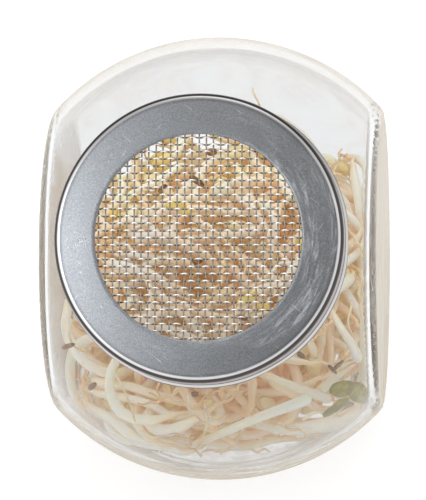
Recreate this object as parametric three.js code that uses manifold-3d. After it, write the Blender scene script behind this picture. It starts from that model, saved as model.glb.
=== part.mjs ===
// A sprouting jar two thirds full of mung bean sprouts.
//
// The jar is a round glass body with two flat sides, a flat base and a neck that leans
// forward. A steel lug cap with a wire-cloth window is twisted onto the neck.
// Millimetres, +Z up. The origin is the centre of the base, and the mouth faces -Y.
import * as THREE from "three";
import { mergeVertices } from "three/addons/utils/BufferGeometryUtils.js";
import Module from "manifold-3d";

const wasm = await Module();
wasm.setup();

// ---------------------------------------------------------------- driving dimensions
const BODY_RADIUS = 68; // the round body is part of a sphere
const HALF_WIDTH = 50.4; // from the middle to each flat side
const CENTRE_HEIGHT = 56; // of the sphere's centre above the base
const WALL = 3.1;
const BASE_WALL = 10;
const EDGE_FILLET = 3; // where the sphere meets a flat side
const INNER_FILLET = 3;
const MOUTH_ELEVATION = THREE.MathUtils.degToRad(45); // of the neck's axis above level

// Neck and cap sizes are radii, and distances from the sphere's centre along the neck.
const NECK_RADIUS = 39.3;
const BORE_RADIUS = 36.2;
const NECK_FILLET = 3;
const NECK_FILLET_DEG = 15; // the fillet stops this far short of its touch on the body
const LIP = 69.9;
const LIP_ROUND = 0.8;
const TRANSFER_BEAD = { at: 58.2, half: 1.1, radius: 40.3 };
const LUG_COUNT = 6;
const RIDGE = { low: 64.6, high: 66.2, root: 37.2, radius: 40.3, spanDeg: 42, bevel: 0.4 };
const LUG = { low: 62.4, high: 64.2, inner: 39.75, spanDeg: 12 };

const SHEET = 0.5; // thickness of the cap's steel
const WINDOW_RADIUS = 30.25;
const HEM_RADIUS = 0.45;
const PANEL_TOP = 73.6;
const PANEL_EDGE = 40.6; // where the flat panel turns into the shoulder
const PANEL_DROP = 0.65; // the panel falls this much from its window to its shoulder
const SKIRT_RADIUS = 42.4;
const CURL = { radius: 1.15, ring: 42.2, at: 61.2, startDeg: 70 };

const GASKET = { inner: 36.3, outer: 39.9, low: 70.2, high: 71 };
const WIRE = 0.5;
const WIRE_PITCH = 2.1;
const CLOTH_RADIUS = 38.4;
const CLOTH_RIM = 2; // width of the pressed rim that joins one layer's wires
const RIM_HALF = 0.25; // half the rim's thickness
const WARP_MIDDLE = 72.15;
const WEFT_MIDDLE = 71.5;

// Each sprout is a chain of points, from its seed leaves to the tip of its root.
const SPROUT_COUNT = 350; // that fall into the jar together
const SPROUTS_BUILT = 50; // those that lie nearest the glass
const SPROUT_POINTS = 13;
const FIRST_HOOK = 1; // the chain's points at which each kind of bend starts
const FIRST_STEM = 4;
const FIRST_ROOT = 9;
const SPROUT_RADII = [
  1.62, 2.1, 1.45, 1.42, 1.47, 1.5, 1.52, 1.48, 1.3, 0.82, 0.55, 0.42, 0.3,
];
const LINK = [4.7, 5.7]; // length of a sprout's links: shortest, longest
const GIRTH = [0.78, 1.2]; // share of the radii above
const HOOK_BEND = [0.05, 0.14]; // turn in a millimetre, just below the seed leaves
const STEM_BEND = [0.004, 0.03];
const ROOT_BEND = [0.02, 0.09];
const SWAY = 0.3; // how much a bend's direction wanders from link to link
const START_MARGIN = { x: 12, y: 18, z: 26 }; // of the space in which the sprouts start
const START_DROP = 8; // of that space's middle below the sphere's centre
const SPROUT_GAP = 0.35; // kept between two sprouts
const GLASS_GAP = 0.6; // kept between a sprout and the glass
const HEAP_TOP = 15; // of the heap above the sphere's centre
const SETTLE_STEPS = 800;
const FALL_STEPS = 150; // after these the sprouts only push apart
const FALL = [0, 0.09, -0.2]; // of each point in one step: the heap rises to the back
const PUSH = 0.5; // share of an overlap that one step takes away
const STIFFNESS = [1, 0.5, 0.35, 0.25]; // of the spans over 1, 2, 3 and 4 links
const LIST_EVERY = 8; // steps between two lists of neighbours
const LIST_REACH = 10.8; // between the middles of two links that may meet
const SIDE_CUT = 1.6; // how far the sprouts stay out of the corners at the flat sides
const HEEL_CUT = 9; // and out of the corner round the base
const RANDOM_SEED = 20260711;
const END_ROUND = 0.8; // how far a sprout's end stands out, in its end's radii

// How finely curved surfaces are cut into facets.
const ROUND_STEPS = 40;
const SPHERE_STEPS = 10; // across the width of the body
const FINE_STEPS = 3; // in a small arc
const TUBE_SIDES = 6;

const bodyCentre = new THREE.Vector3(0, 0, CENTRE_HEIGHT);

// ------------------------------------------------------------------- shape functions
const WELD = 0.0001; // corners nearer than this are one corner

function toManifold(geometry) {
  const bare = geometry.clone();
  bare.deleteAttribute("normal");
  bare.deleteAttribute("uv");
  const merged = mergeVertices(bare, WELD);
  const mesh = new wasm.Mesh({
    numProp: 3,
    vertProperties: new Float32Array(merged.attributes.position.array),
    triVerts: new Uint32Array(merged.index.array),
  });
  return new wasm.Manifold(mesh);
}

function fromManifold(solid) {
  const mesh = solid.getMesh();
  const geometry = new THREE.BufferGeometry();
  geometry.setAttribute("position", new THREE.BufferAttribute(mesh.vertProperties, 3));
  geometry.setIndex(new THREE.BufferAttribute(mesh.triVerts, 1));
  return geometry;
}

function joined(geometries) {
  const solids = geometries.map(toManifold);
  return fromManifold(solids.reduce((whole, next) => whole.add(next)));
}

// Profiles are lists of [radius, distance along the axis], turned about +Y.
function turned(profile) {
  const points = profile.map(([radius, along]) => new THREE.Vector2(radius, along));
  return new THREE.LatheGeometry(points, ROUND_STEPS);
}

function turnedRing(profile) {
  return turned([...profile, profile[0]]);
}

function flatRing(inner, outer, low, high) {
  return turnedRing([
    [outer, low],
    [outer, high],
    [inner, high],
    [inner, low],
  ]);
}

function arc(radius, centreRadius, centreAlong, fromDeg, toDeg, steps) {
  return Array.from({ length: steps + 1 }, (_, i) => {
    const angle = THREE.MathUtils.degToRad(fromDeg + ((toDeg - fromDeg) * i) / steps);
    return [centreRadius + radius * Math.cos(angle), centreAlong + radius * Math.sin(angle)];
  });
}

// A bar that follows part of a circle about +Y.
function arcBar(inner, outer, low, high, turn, spanDeg, bevel) {
  const half = THREE.MathUtils.degToRad(spanDeg / 2);
  const outline = new THREE.Shape();
  outline.absarc(0, 0, outer - bevel, turn - half, turn + half, false);
  outline.absarc(0, 0, inner + bevel, turn + half, turn - half, true);
  const geometry = new THREE.ExtrudeGeometry(outline, {
    depth: high - low - 2 * bevel,
    bevelEnabled: bevel > 0,
    bevelThickness: bevel,
    bevelSize: bevel,
    bevelSegments: 1,
    curveSegments: 2 * FINE_STEPS,
  });
  return geometry.rotateX(-Math.PI / 2).translate(0, low + bevel, 0);
}

function aroundMouth(make) {
  return Array.from({ length: LUG_COUNT }, (_, i) => make((i / LUG_COUNT) * 2 * Math.PI));
}

// ----------------------------------------------------------------------- the glass
// The glass is built about the sphere's centre: one closed shape for its outside, less
// another for its inside.
const OUTSIDE = {
  radius: BODY_RADIUS,
  halfWidth: HALF_WIDTH,
  base: CENTRE_HEIGHT,
  fillet: EDGE_FILLET,
};
const INSIDE = {
  radius: BODY_RADIUS - WALL,
  halfWidth: HALF_WIDTH - WALL,
  base: CENTRE_HEIGHT - BASE_WALL,
  fillet: INNER_FILLET,
};

// A sphere cut by two flat sides, with round edges, and by a flat base.
function roundBody({ radius, halfWidth, base, fillet }) {
  const edgeAt = halfWidth - fillet;
  const edgeOut = Math.sqrt((radius - fillet) ** 2 - edgeAt ** 2);
  const edgeDeg = THREE.MathUtils.radToDeg(Math.atan2(edgeAt, edgeOut));
  const drum = turned([
    [0, -halfWidth],
    ...arc(fillet, edgeOut, -edgeAt, -90, -edgeDeg, FINE_STEPS),
    ...arc(radius, 0, 0, -edgeDeg, edgeDeg, SPHERE_STEPS).slice(1, -1),
    ...arc(fillet, edgeOut, edgeAt, edgeDeg, 90, FINE_STEPS),
    [0, halfWidth],
  ]).rotateZ(-Math.PI / 2);
  const size = 3 * radius;
  const aboveBase = new THREE.BoxGeometry(size, size, size).translate(0, 0, size / 2 - base);
  return toManifold(drum).intersect(toManifold(aboveBase));
}

// The neck's outside, from inside the body to the lip. Its root spreads onto the body.
function neckOutside() {
  const rootOut = NECK_RADIUS + NECK_FILLET;
  const rootAlong = Math.sqrt((BODY_RADIUS + NECK_FILLET) ** 2 - rootOut ** 2);
  const touchDeg = THREE.MathUtils.radToDeg(Math.atan2(rootAlong, rootOut));
  return turned([
    [0, BODY_RADIUS / 2],
    [NECK_RADIUS, BODY_RADIUS / 2],
    ...arc(NECK_FILLET, rootOut, rootAlong, touchDeg + 180 - NECK_FILLET_DEG, 180, FINE_STEPS),
    [NECK_RADIUS, TRANSFER_BEAD.at - TRANSFER_BEAD.half],
    [TRANSFER_BEAD.radius, TRANSFER_BEAD.at],
    [NECK_RADIUS, TRANSFER_BEAD.at + TRANSFER_BEAD.half],
    [NECK_RADIUS, LIP - LIP_ROUND],
    [NECK_RADIUS - LIP_ROUND, LIP],
    [0, LIP],
  ]);
}

function neckBore() {
  return turned([
    [0, 0],
    [BORE_RADIUS, 0],
    [BORE_RADIUS, LIP - LIP_ROUND],
    [BORE_RADIUS + LIP_ROUND, LIP],
    [BORE_RADIUS + 2 * LIP_ROUND, LIP + LIP_ROUND],
    [0, LIP + LIP_ROUND],
  ]);
}

function jarGlass() {
  const lean = Math.PI - MOUTH_ELEVATION; // turns +Y onto the neck's axis
  const leaned = (geometry) => toManifold(geometry.rotateX(lean));
  const { low, high, root, radius, spanDeg, bevel } = RIDGE;
  const ridge = (turn) => arcBar(root, radius, low, high, turn, spanDeg, bevel);
  const outside = aroundMouth(ridge).reduce(
    (solid, geometry) => solid.add(leaned(geometry)),
    roundBody(OUTSIDE).add(leaned(neckOutside())),
  );
  return fromManifold(outside.subtract(roundBody(INSIDE)).subtract(leaned(neckBore())));
}

// ------------------------------------------------------------------------- the cap
// Everything in the cap is turned about the neck's axis.
function panelTop(radius) {
  const share = (radius - WINDOW_RADIUS) / (PANEL_EDGE - WINDOW_RADIUS);
  return PANEL_TOP - PANEL_DROP * share * share;
}

// The pressed sheet: a rolled hem, the panel, the shoulder, the skirt and its curl.
function capSheet() {
  const shoulder = SKIRT_RADIUS - PANEL_EDGE;
  const shoulderAt = PANEL_TOP - PANEL_DROP - shoulder;
  const hemRing = WINDOW_RADIUS + HEM_RADIUS;
  const midPanel = (hemRing + PANEL_EDGE) / 2;
  return turnedRing([
    ...arc(shoulder - SHEET, PANEL_EDGE, shoulderAt, 0, 90, FINE_STEPS - 1),
    [hemRing + HEM_RADIUS, panelTop(hemRing) - SHEET],
    ...arc(HEM_RADIUS, hemRing, PANEL_TOP - HEM_RADIUS, 270, 90, FINE_STEPS + 1),
    [midPanel, panelTop(midPanel)],
    ...arc(shoulder, PANEL_EDGE, shoulderAt, 90, 0, FINE_STEPS),
    ...arc(CURL.radius, CURL.ring, CURL.at, CURL.startDeg, -180, 2 * FINE_STEPS),
    [SKIRT_RADIUS - SHEET, CURL.at + CURL.radius],
  ].reverse());
}

// Each lug is a short inward step of the skirt that hooks under a thread ridge.
function lidCap() {
  const { low, high, inner, spanDeg } = LUG;
  const lug = (turn) => arcBar(inner, SKIRT_RADIUS - SHEET / 2, low, high, turn, spanDeg, 0);
  return joined([capSheet(), ...aroundMouth(lug)]);
}

function lidGasket() {
  return flatRing(GASKET.inner, GASKET.outer, GASKET.low, GASKET.high);
}

// One layer of the wire cloth: parallel wires, joined by the cloth's pressed rim.
function wireLayer(middle, acrossX) {
  const reach = CLOTH_RADIUS - CLOTH_RIM / 2;
  const rim = flatRing(CLOTH_RADIUS - CLOTH_RIM, CLOTH_RADIUS, middle - RIM_HALF, middle + RIM_HALF);
  const count = Math.floor((CLOTH_RADIUS - CLOTH_RIM) / WIRE_PITCH);
  const wires = [];
  for (let i = -count; i <= count; i++) {
    const offset = i * WIRE_PITCH;
    const length = 2 * Math.sqrt(reach * reach - offset * offset);
    const size = acrossX ? [length, WIRE, WIRE] : [WIRE, WIRE, length];
    const place = acrossX ? [0, middle, offset] : [offset, middle, 0];
    wires.push(new THREE.BoxGeometry(...size).translate(...place));
  }
  return joined([rim, ...wires]);
}

// ----------------------------------------------------------------------- the sprouts
// The chains fall into the jar and push each other apart until they lie clear.

// The same numbers in any language: 32-bit integers, and only + - * / and square roots.
let randomState = RANDOM_SEED;
function random() {
  randomState = (Math.imul(randomState, 1664525) + 1013904223) >>> 0;
  return randomState / 4294967296;
}

function randomDirection() {
  for (;;) {
    const x = 2 * random() - 1;
    const y = 2 * random() - 1;
    const z = 2 * random() - 1;
    const size = Math.sqrt(x * x + y * y + z * z);
    if (size > 0.2 && size < 1) return [x / size, y / size, z / size];
  }
}

function perpendicular(n, d) {
  const along = n[0] * d[0] + n[1] * d[1] + n[2] * d[2];
  const x = n[0] - along * d[0];
  const y = n[1] - along * d[1];
  const z = n[2] - along * d[2];
  const size = Math.sqrt(x * x + y * y + z * z);
  return [x / size, y / size, z / size];
}

function between([low, high]) {
  return low + (high - low) * random();
}

function startPoint() {
  for (;;) {
    const x = 2 * random() - 1;
    const y = 2 * random() - 1;
    const z = 2 * random() - 1;
    if (x * x + y * y + z * z > 1) continue;
    return [
      x * (HALF_WIDTH - START_MARGIN.x),
      y * (BODY_RADIUS - START_MARGIN.y),
      z * (BODY_RADIUS - START_MARGIN.z) - START_DROP,
    ];
  }
}

// A sprout as it grew: hooked below the seed leaves, then a long lazy bend.
function grownSprout() {
  const link = between(LINK);
  const girth = between(GIRTH);
  const bends = { hook: between(HOOK_BEND), stem: between(STEM_BEND), root: between(ROOT_BEND) };
  let d = randomDirection();
  let n = perpendicular(randomDirection(), d);
  const point = startPoint();
  const points = [];
  for (let k = 0; k < SPROUT_POINTS; k++) {
    points.push([point[0], point[1], point[2]]);
    const isHook = k >= FIRST_HOOK && k < FIRST_STEM;
    const bend = (isHook ? bends.hook : k >= FIRST_ROOT ? bends.root : bends.stem) * link;
    const x = d[0] + n[0] * bend;
    const y = d[1] + n[1] * bend;
    const z = d[2] + n[2] * bend;
    const size = Math.sqrt(x * x + y * y + z * z);
    d = [x / size, y / size, z / size];
    const sway = randomDirection();
    n = perpendicular([n[0] + SWAY * sway[0], n[1] + SWAY * sway[1], n[2] + SWAY * sway[2]], d);
    point[0] += d[0] * link;
    point[1] += d[1] * link;
    point[2] += d[2] * link;
  }
  return { points, radii: SPROUT_RADII.map((radius) => radius * girth) };
}

function distanceBetween(p, a, b) {
  const x = p[3 * b] - p[3 * a];
  const y = p[3 * b + 1] - p[3 * a + 1];
  const z = p[3 * b + 2] - p[3 * a + 2];
  return Math.sqrt(x * x + y * y + z * z);
}

// Keeps two points of one sprout as far apart as they grew.
function holdSpan(p, a, b, rest, stiffness) {
  const x = p[3 * b] - p[3 * a];
  const y = p[3 * b + 1] - p[3 * a + 1];
  const z = p[3 * b + 2] - p[3 * a + 2];
  const size = Math.sqrt(x * x + y * y + z * z);
  const share = ((size - rest) / size) * (0.5 * stiffness);
  p[3 * a] += x * share;
  p[3 * a + 1] += y * share;
  p[3 * a + 2] += z * share;
  p[3 * b] -= x * share;
  p[3 * b + 1] -= y * share;
  p[3 * b + 2] -= z * share;
}

// Pairs of links, of two different sprouts, whose middles are near each other.
function nearPairs(p) {
  const links = [];
  for (let s = 0; s < SPROUT_COUNT; s++) {
    for (let k = 0; k < SPROUT_POINTS - 1; k++) links.push(s * SPROUT_POINTS + k);
  }
  const mid = links.map((a) => [
    (p[3 * a] + p[3 * a + 3]) * 0.5,
    (p[3 * a + 1] + p[3 * a + 4]) * 0.5,
    (p[3 * a + 2] + p[3 * a + 5]) * 0.5,
  ]);
  const pairs = [];
  const perSprout = SPROUT_POINTS - 1;
  for (let i = 0; i < links.length; i++) {
    const nextSprout = (Math.floor(i / perSprout) + 1) * perSprout;
    for (let j = nextSprout; j < links.length; j++) {
      const x = mid[j][0] - mid[i][0];
      const y = mid[j][1] - mid[i][1];
      const z = mid[j][2] - mid[i][2];
      if (x * x + y * y + z * z < LIST_REACH * LIST_REACH) pairs.push([links[i], links[j]]);
    }
  }
  return pairs;
}

const clamp01 = (value) => Math.min(Math.max(value, 0), 1);

const PARALLEL = 1e-9; // links with less spread between their directions count as parallel
const TOUCHING = 1e-6;

// Where links a and b come closest: their shares of the way along, and the way from a to b.
function closest(p, a, b) {
  const ux = p[3 * a + 3] - p[3 * a];
  const uy = p[3 * a + 4] - p[3 * a + 1];
  const uz = p[3 * a + 5] - p[3 * a + 2];
  const vx = p[3 * b + 3] - p[3 * b];
  const vy = p[3 * b + 4] - p[3 * b + 1];
  const vz = p[3 * b + 5] - p[3 * b + 2];
  const wx = p[3 * a] - p[3 * b];
  const wy = p[3 * a + 1] - p[3 * b + 1];
  const wz = p[3 * a + 2] - p[3 * b + 2];
  const uu = ux * ux + uy * uy + uz * uz;
  const vv = vx * vx + vy * vy + vz * vz;
  const uv = ux * vx + uy * vy + uz * vz;
  const uw = ux * wx + uy * wy + uz * wz;
  const vw = vx * wx + vy * wy + vz * wz;
  const spread = Math.max(uu * vv - uv * uv, PARALLEL);
  const guess = clamp01((uv * vw - vv * uw) / spread);
  const t = clamp01((uv * guess + vw) / vv);
  const s = clamp01((uv * t - uw) / uu);
  const x = wx + ux * s - vx * t;
  const y = wy + uy * s - vy * t;
  const z = wz + uz * s - vz * t;
  return { s, t, x, y, z };
}

// Pushes every pair of links that lie too close apart, all from the same starting points.
function pushApart(p, radii, pairs) {
  const moves = new Float64Array(p.length);
  const found = [];
  for (const [a, b] of pairs) {
    const c = closest(p, a, b);
    const size = Math.max(Math.sqrt(c.x * c.x + c.y * c.y + c.z * c.z), TOUCHING);
    const girths = Math.max(radii[a], radii[a + 1]) + Math.max(radii[b], radii[b + 1]);
    const reach = girths + SPROUT_GAP;
    if (size >= reach) continue;
    const share = ((reach - size) / size) * PUSH;
    found.push({ a, b, s: c.s, t: c.t, x: c.x * share, y: c.y * share, z: c.z * share });
  }
  const add = (point, weight, move) => {
    moves[3 * point] += move.x * weight;
    moves[3 * point + 1] += move.y * weight;
    moves[3 * point + 2] += move.z * weight;
  };
  for (const f of found) add(f.a, 1 - f.s, f);
  for (const f of found) add(f.a + 1, f.s, f);
  for (const f of found) add(f.b, f.t - 1, f);
  for (const f of found) add(f.b + 1, -f.t, f);
  for (let i = 0; i < p.length; i++) p[i] += moves[i];
}

// Keeps a point inside the glass and below the heap's top: the glass is a sphere, flat
// sides and base, and the corners between them.
const ROOM_RADIUS = BODY_RADIUS - WALL - GLASS_GAP;
const ROOM_HALF_WIDTH = HALF_WIDTH - WALL - GLASS_GAP;
const ROOM_BASE = CENTRE_HEIGHT - BASE_WALL - GLASS_GAP;

// The cone that cuts off the corner where the sphere meets a flat.
function cornerCone(flat, cut) {
  const rim = Math.sqrt(ROOM_RADIUS * ROOM_RADIUS - flat * flat);
  const out = Math.sqrt((1 + flat / ROOM_RADIUS) * 0.5);
  const side = Math.sqrt((1 - flat / ROOM_RADIUS) * 0.5);
  return { out, side, reach: flat * out + rim * side - cut };
}
const SIDE_CORNER = cornerCone(ROOM_HALF_WIDTH, SIDE_CUT);
const BASE_CORNER = cornerCone(ROOM_BASE, HEEL_CUT);

function keepInside(p, i, radius) {
  let x = p[3 * i];
  let y = p[3 * i + 1];
  let z = p[3 * i + 2];
  const size = Math.sqrt(x * x + y * y + z * z);
  const furthest = ROOM_RADIUS - radius;
  if (size > furthest) {
    const share = furthest / size;
    x *= share;
    y *= share;
    z *= share;
  }
  const ring = Math.sqrt(y * y + z * z);
  const side = SIDE_CORNER;
  const sideOver = Math.abs(x) * side.out + ring * side.side - (side.reach - radius);
  if (sideOver > 0 && ring > 1) {
    const share = (ring - sideOver * side.side) / ring;
    x -= (x > 0 ? 1 : -1) * (sideOver * side.out);
    y *= share;
    z *= share;
  }
  const foot = Math.sqrt(x * x + y * y);
  const base = BASE_CORNER;
  const baseOver = -z * base.out + foot * base.side - (base.reach - radius);
  if (baseOver > 0 && foot > 1) {
    const share = (foot - baseOver * base.side) / foot;
    z += baseOver * base.out;
    x *= share;
    y *= share;
  }
  x = Math.min(Math.max(x, radius - ROOM_HALF_WIDTH), ROOM_HALF_WIDTH - radius);
  z = Math.min(Math.max(z, radius - ROOM_BASE), HEAP_TOP - radius);
  p[3 * i] = x;
  p[3 * i + 1] = y;
  p[3 * i + 2] = z;
}

function settledSprouts() {
  const sprouts = Array.from({ length: SPROUT_COUNT }, grownSprout);
  const p = new Float64Array(sprouts.flatMap((sprout) => sprout.points.flat()));
  const radii = sprouts.flatMap((sprout) => sprout.radii);
  const spans = [];
  STIFFNESS.forEach((stiffness, i) => {
    for (let k = 0; k + i + 1 < SPROUT_POINTS; k++) {
      for (let s = 0; s < SPROUT_COUNT; s++) {
        const a = s * SPROUT_POINTS + k;
        spans.push({ a, b: a + i + 1, rest: distanceBetween(p, a, a + i + 1), stiffness });
      }
    }
  });
  let pairs = [];
  for (let step = 0; step < SETTLE_STEPS; step++) {
    if (step % LIST_EVERY === 0) pairs = nearPairs(p);
    if (step < FALL_STEPS) for (let i = 0; i < p.length; i++) p[i] += FALL[i % 3];
    for (const { a, b, rest, stiffness } of spans) holdSpan(p, a, b, rest, stiffness);
    pushApart(p, radii, pairs);
    for (let i = 0; i < radii.length; i++) keepInside(p, i, radii[i]);
  }
  return sprouts.map((sprout, s) => ({
    radii: sprout.radii,
    points: sprout.points.map((_, k) => {
      const i = 3 * (s * SPROUT_POINTS + k);
      return new THREE.Vector3(p[i], p[i + 1], p[i + 2] + CENTRE_HEIGHT);
    }),
  }));
}

// A closed tube through a chain's points, as wide as each point's radius.
function taperedTube(points, radii) {
  const { tangents, normals, binormals } = new THREE.CatmullRomCurve3(points).computeFrenetFrames(
    points.length - 1,
    false,
  );
  const last = points.length - 1;
  const vertices = points.flatMap((point, k) =>
    Array.from({ length: TUBE_SIDES }, (_, side) => {
      const turn = (side / TUBE_SIDES) * 2 * Math.PI;
      return point
        .clone()
        .addScaledVector(normals[k], radii[k] * Math.cos(turn))
        .addScaledVector(binormals[k], radii[k] * Math.sin(turn));
    }),
  );
  const tip = (k, reach) => points[k].clone().addScaledVector(tangents[k], reach * radii[k]);
  vertices.push(tip(0, -END_ROUND), tip(last, END_ROUND));
  const at = (k, side) => k * TUBE_SIDES + (side % TUBE_SIDES);
  const index = [];
  for (let side = 0; side < TUBE_SIDES; side++) {
    index.push(vertices.length - 2, at(0, side + 1), at(0, side));
    for (let k = 0; k < last; k++) {
      index.push(at(k, side), at(k, side + 1), at(k + 1, side + 1));
      index.push(at(k, side), at(k + 1, side + 1), at(k + 1, side));
    }
    index.push(vertices.length - 1, at(last, side), at(last, side + 1));
  }
  const geometry = new THREE.BufferGeometry().setFromPoints(vertices);
  geometry.setIndex(index);
  return geometry;
}

// How near a sprout lies to the glass: the mean distance of its points from it.
function glassDistance({ points }) {
  const distances = points.map((point) => {
    const p = point.clone().sub(bodyCentre);
    return Math.min(
      ROOM_RADIUS - p.length(),
      ROOM_HALF_WIDTH - Math.abs(p.x),
      ROOM_BASE + p.z,
    );
  });
  return distances.reduce((sum, distance) => sum + distance) / distances.length;
}

// ---------------------------------------------------------------------- the assembly
const GLASS_LOOK = {
  color: 0xdfe6e2,
  roughness: 0.05,
  metalness: 0,
  transparent: true,
  opacity: 0.35,
};
const STEEL_LOOK = { color: 0x9da1a6, roughness: 0.38, metalness: 0.9 };
const WIRE_LOOK = { color: 0xb4b2ac, roughness: 0.3, metalness: 0.95 };
const RUBBER_LOOK = { color: 0xe4e0d6, roughness: 0.7, metalness: 0 };
const SPROUT_LOOK = { color: 0xeee0c2, roughness: 0.45, metalness: 0 };

function piece(name, geometry, look) {
  const mesh = new THREE.Mesh(geometry, new THREE.MeshStandardMaterial(look));
  mesh.name = name;
  return mesh;
}

const glass = piece("jar_glass", jarGlass(), GLASS_LOOK);
glass.position.copy(bodyCentre);

const lid = new THREE.Group();
lid.position.copy(bodyCentre);
lid.rotation.x = Math.PI - MOUTH_ELEVATION;
lid.add(
  piece("lid_cap", lidCap(), STEEL_LOOK),
  piece("lid_gasket", lidGasket(), RUBBER_LOOK),
  piece("screen_warp", wireLayer(WARP_MIDDLE, false), WIRE_LOOK),
  piece("screen_weft", wireLayer(WEFT_MIDDLE, true), WIRE_LOOK),
);

const heap = settledSprouts()
  .sort((a, b) => glassDistance(a) - glassDistance(b))
  .slice(0, SPROUTS_BUILT)
  .map((sprout, i) => {
    const name = `sprout_${String(i + 1).padStart(2, "0")}`;
    return piece(name, taperedTube(sprout.points, sprout.radii), SPROUT_LOOK);
  });

const group = new THREE.Group();
group.add(glass, lid, ...heap);
export default group;
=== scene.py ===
"""The looks of a sprouting jar two thirds full of mung bean sprouts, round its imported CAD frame.

Metres, +Z up, the origin at the centre of the jar's base, the mouth towards -Y. The sprouts
are settled in millimetres and scaled at the end.
"""

import math

import bpy
import numpy as np
from mathutils import Matrix, Vector


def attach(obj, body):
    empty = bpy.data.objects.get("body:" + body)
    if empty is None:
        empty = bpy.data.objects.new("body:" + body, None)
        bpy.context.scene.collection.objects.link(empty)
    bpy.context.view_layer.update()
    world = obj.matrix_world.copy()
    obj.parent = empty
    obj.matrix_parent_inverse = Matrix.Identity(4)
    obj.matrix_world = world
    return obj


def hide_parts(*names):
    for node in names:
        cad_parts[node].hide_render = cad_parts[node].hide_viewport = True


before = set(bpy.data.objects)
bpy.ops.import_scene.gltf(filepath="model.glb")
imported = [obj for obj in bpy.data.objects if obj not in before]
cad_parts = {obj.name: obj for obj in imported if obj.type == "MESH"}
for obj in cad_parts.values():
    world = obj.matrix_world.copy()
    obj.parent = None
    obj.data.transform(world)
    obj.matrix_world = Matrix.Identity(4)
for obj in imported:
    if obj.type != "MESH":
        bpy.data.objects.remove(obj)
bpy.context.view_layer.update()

MM = 0.001

# ------------------------------------------------------------------- driving dimensions
# The glass, the cap and the wire cloth: millimetres and radians, the same as the frame's.
BODY_RADIUS = 68.0
HALF_WIDTH = 50.4
CENTRE_HEIGHT = 56.0
WALL = 3.1
BASE_WALL = 10.0
EDGE_FILLET = 3.0
INNER_FILLET = 3.0
NECK_RADIUS = 39.3
BORE_RADIUS = 36.2
NECK_FILLET = 3.0
LIP = 69.9
LIP_ROUND = 0.8
BEAD_AT = 58.2
BEAD_HALF = 1.4
BEAD_OUT = 1.0
LUG_COUNT = 6
RIDGE_AT = 65.4
RIDGE_HALF = 0.9
RIDGE_OUT = 1.0
RIDGE_SPAN = math.radians(42)
SHEET = 0.5
WINDOW_RADIUS = 30.25
HEM_RADIUS = 0.45
PANEL_TOP = 73.6
PANEL_EDGE = 40.6
PANEL_DROP = 0.65
SKIRT_RADIUS = 42.4
CURL_RADIUS = 1.15
CURL_RING = 42.2
CURL_AT = 61.2
LUG_SPAN = math.radians(12)
LUG_PRESS = 0.3
WIRE = 0.5
WIRE_PITCH = 2.1
CLOTH_RADIUS = 38.2
CLOTH_MIDDLE = 71.83

# What the fine shapes add to them.
BORE_END = 0.8 * BODY_RADIUS  # where the bore's cylinder meets the inside of the body
RIDGE_FADE = RIDGE_SPAN / 12  # the turn over which a ridge's ends rise
PANEL_CURVE = 1.3  # 1 is a cone and 2 a dish
CURL_TURN = (76, -180)  # degrees, from the skirt round to the curl's inner end
WARP_CRIMP = 0.11  # how far the wires go over and under each other
WEFT_CRIMP = 0.40
WEFT_SWAY = 0.12  # how far the weft wires swing aside at each crossing
WIRE_SHIFT = 0.05  # the spread of how far whole wires lie off their places
WIRE_BEND = 0.04  # how far each wire wanders along its length
WIRE_BEND_LENGTH = 9.0

# The sprouts. Places on one are counted in points of its line, and rates are radians a point.
STEM_START = 1.35
HEAD_FOOT = STEM_START + 0.1  # just inside the stem, so the seed leaves join it
FIRST_ASIDE = (0.31, 0.52, 0.79)  # a way that no sprout starts along
BELOW_HEAD = (0.5, 0.72)  # a stem's first two radii, as shares of its third
ROOT_FROM = 8.2
ROOT_FADE = 1.5  # the points over which a stem turns into a root
STEM_FLATNESS = (0.88, 1.0)
STEM_LUMPS = 0.018  # how much a stem swells, as a share of its radius
LUMP_SIZE = (0.2, 1)
LUMP_RATES = (1.7, 3.1, 5.3)
ROOT_WRINKLES = 0.09
WRINKLE_RATES = (23, 9.1)
ROOT_WIGGLE = 0.35
WIGGLE_RATES = (7.3, 5.9)
STEM_ENDS = (0.7, 1.5)  # how far the ends stand out, as shares of the radius there
LOBE_GAP = 0.12  # between the two seed leaves where they grow from the stem
LOBE_GAPE = 0.16  # the most that a seed leaf leans outwards, in radians
LOBE_WIDTH = (1.75, 1.95)  # this and the thickness are shares of the head's radius
LOBE_THICKNESS = (0.6, 0.72)
LOBE_LENGTH = (0.9, 1)
LOBE_PAST = 0.55  # how far it may pass the line's end, as a share of the radius there
LOBE_SWELL = (0.8, 0.18)  # how blunt its ends are, and how much fuller it is near its foot
LOBE_INSIDE = 0.22  # the depth of its nearly flat inside, as a share of its outside's
LOBE_ARCH = 0.35  # how far it bows outwards, as a share of its thickness
SHAPE_SEED = 4000
OUTER_SPROUTS = 110  # these are whiter; those inside the heap draw peachier tones, a painted warm shade between the sprouts
OUTER_TONES = (0.0, 0.5)
INNER_SHADED_TONES = (0.4, 1.0)
INNER_PER_PIECE = 100  # of the joined sprouts inside the heap
OPEN_VIEWS = (  # picture x and y, and how far off the sprouts stay, in millimetres
    (114, 148, 4.0),
    (122, 164, 4.0),
    (197, 154, 3.5),
    (220, 141, 4.0),
)
PAINTED_HEAP_GLOW = 0.04  # a painted glow: emission that stands in for the light that wanders about inside the heap
PAINTED_MOUTH_GLOW = 0.03  # and more painted glow under the mouth
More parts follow.
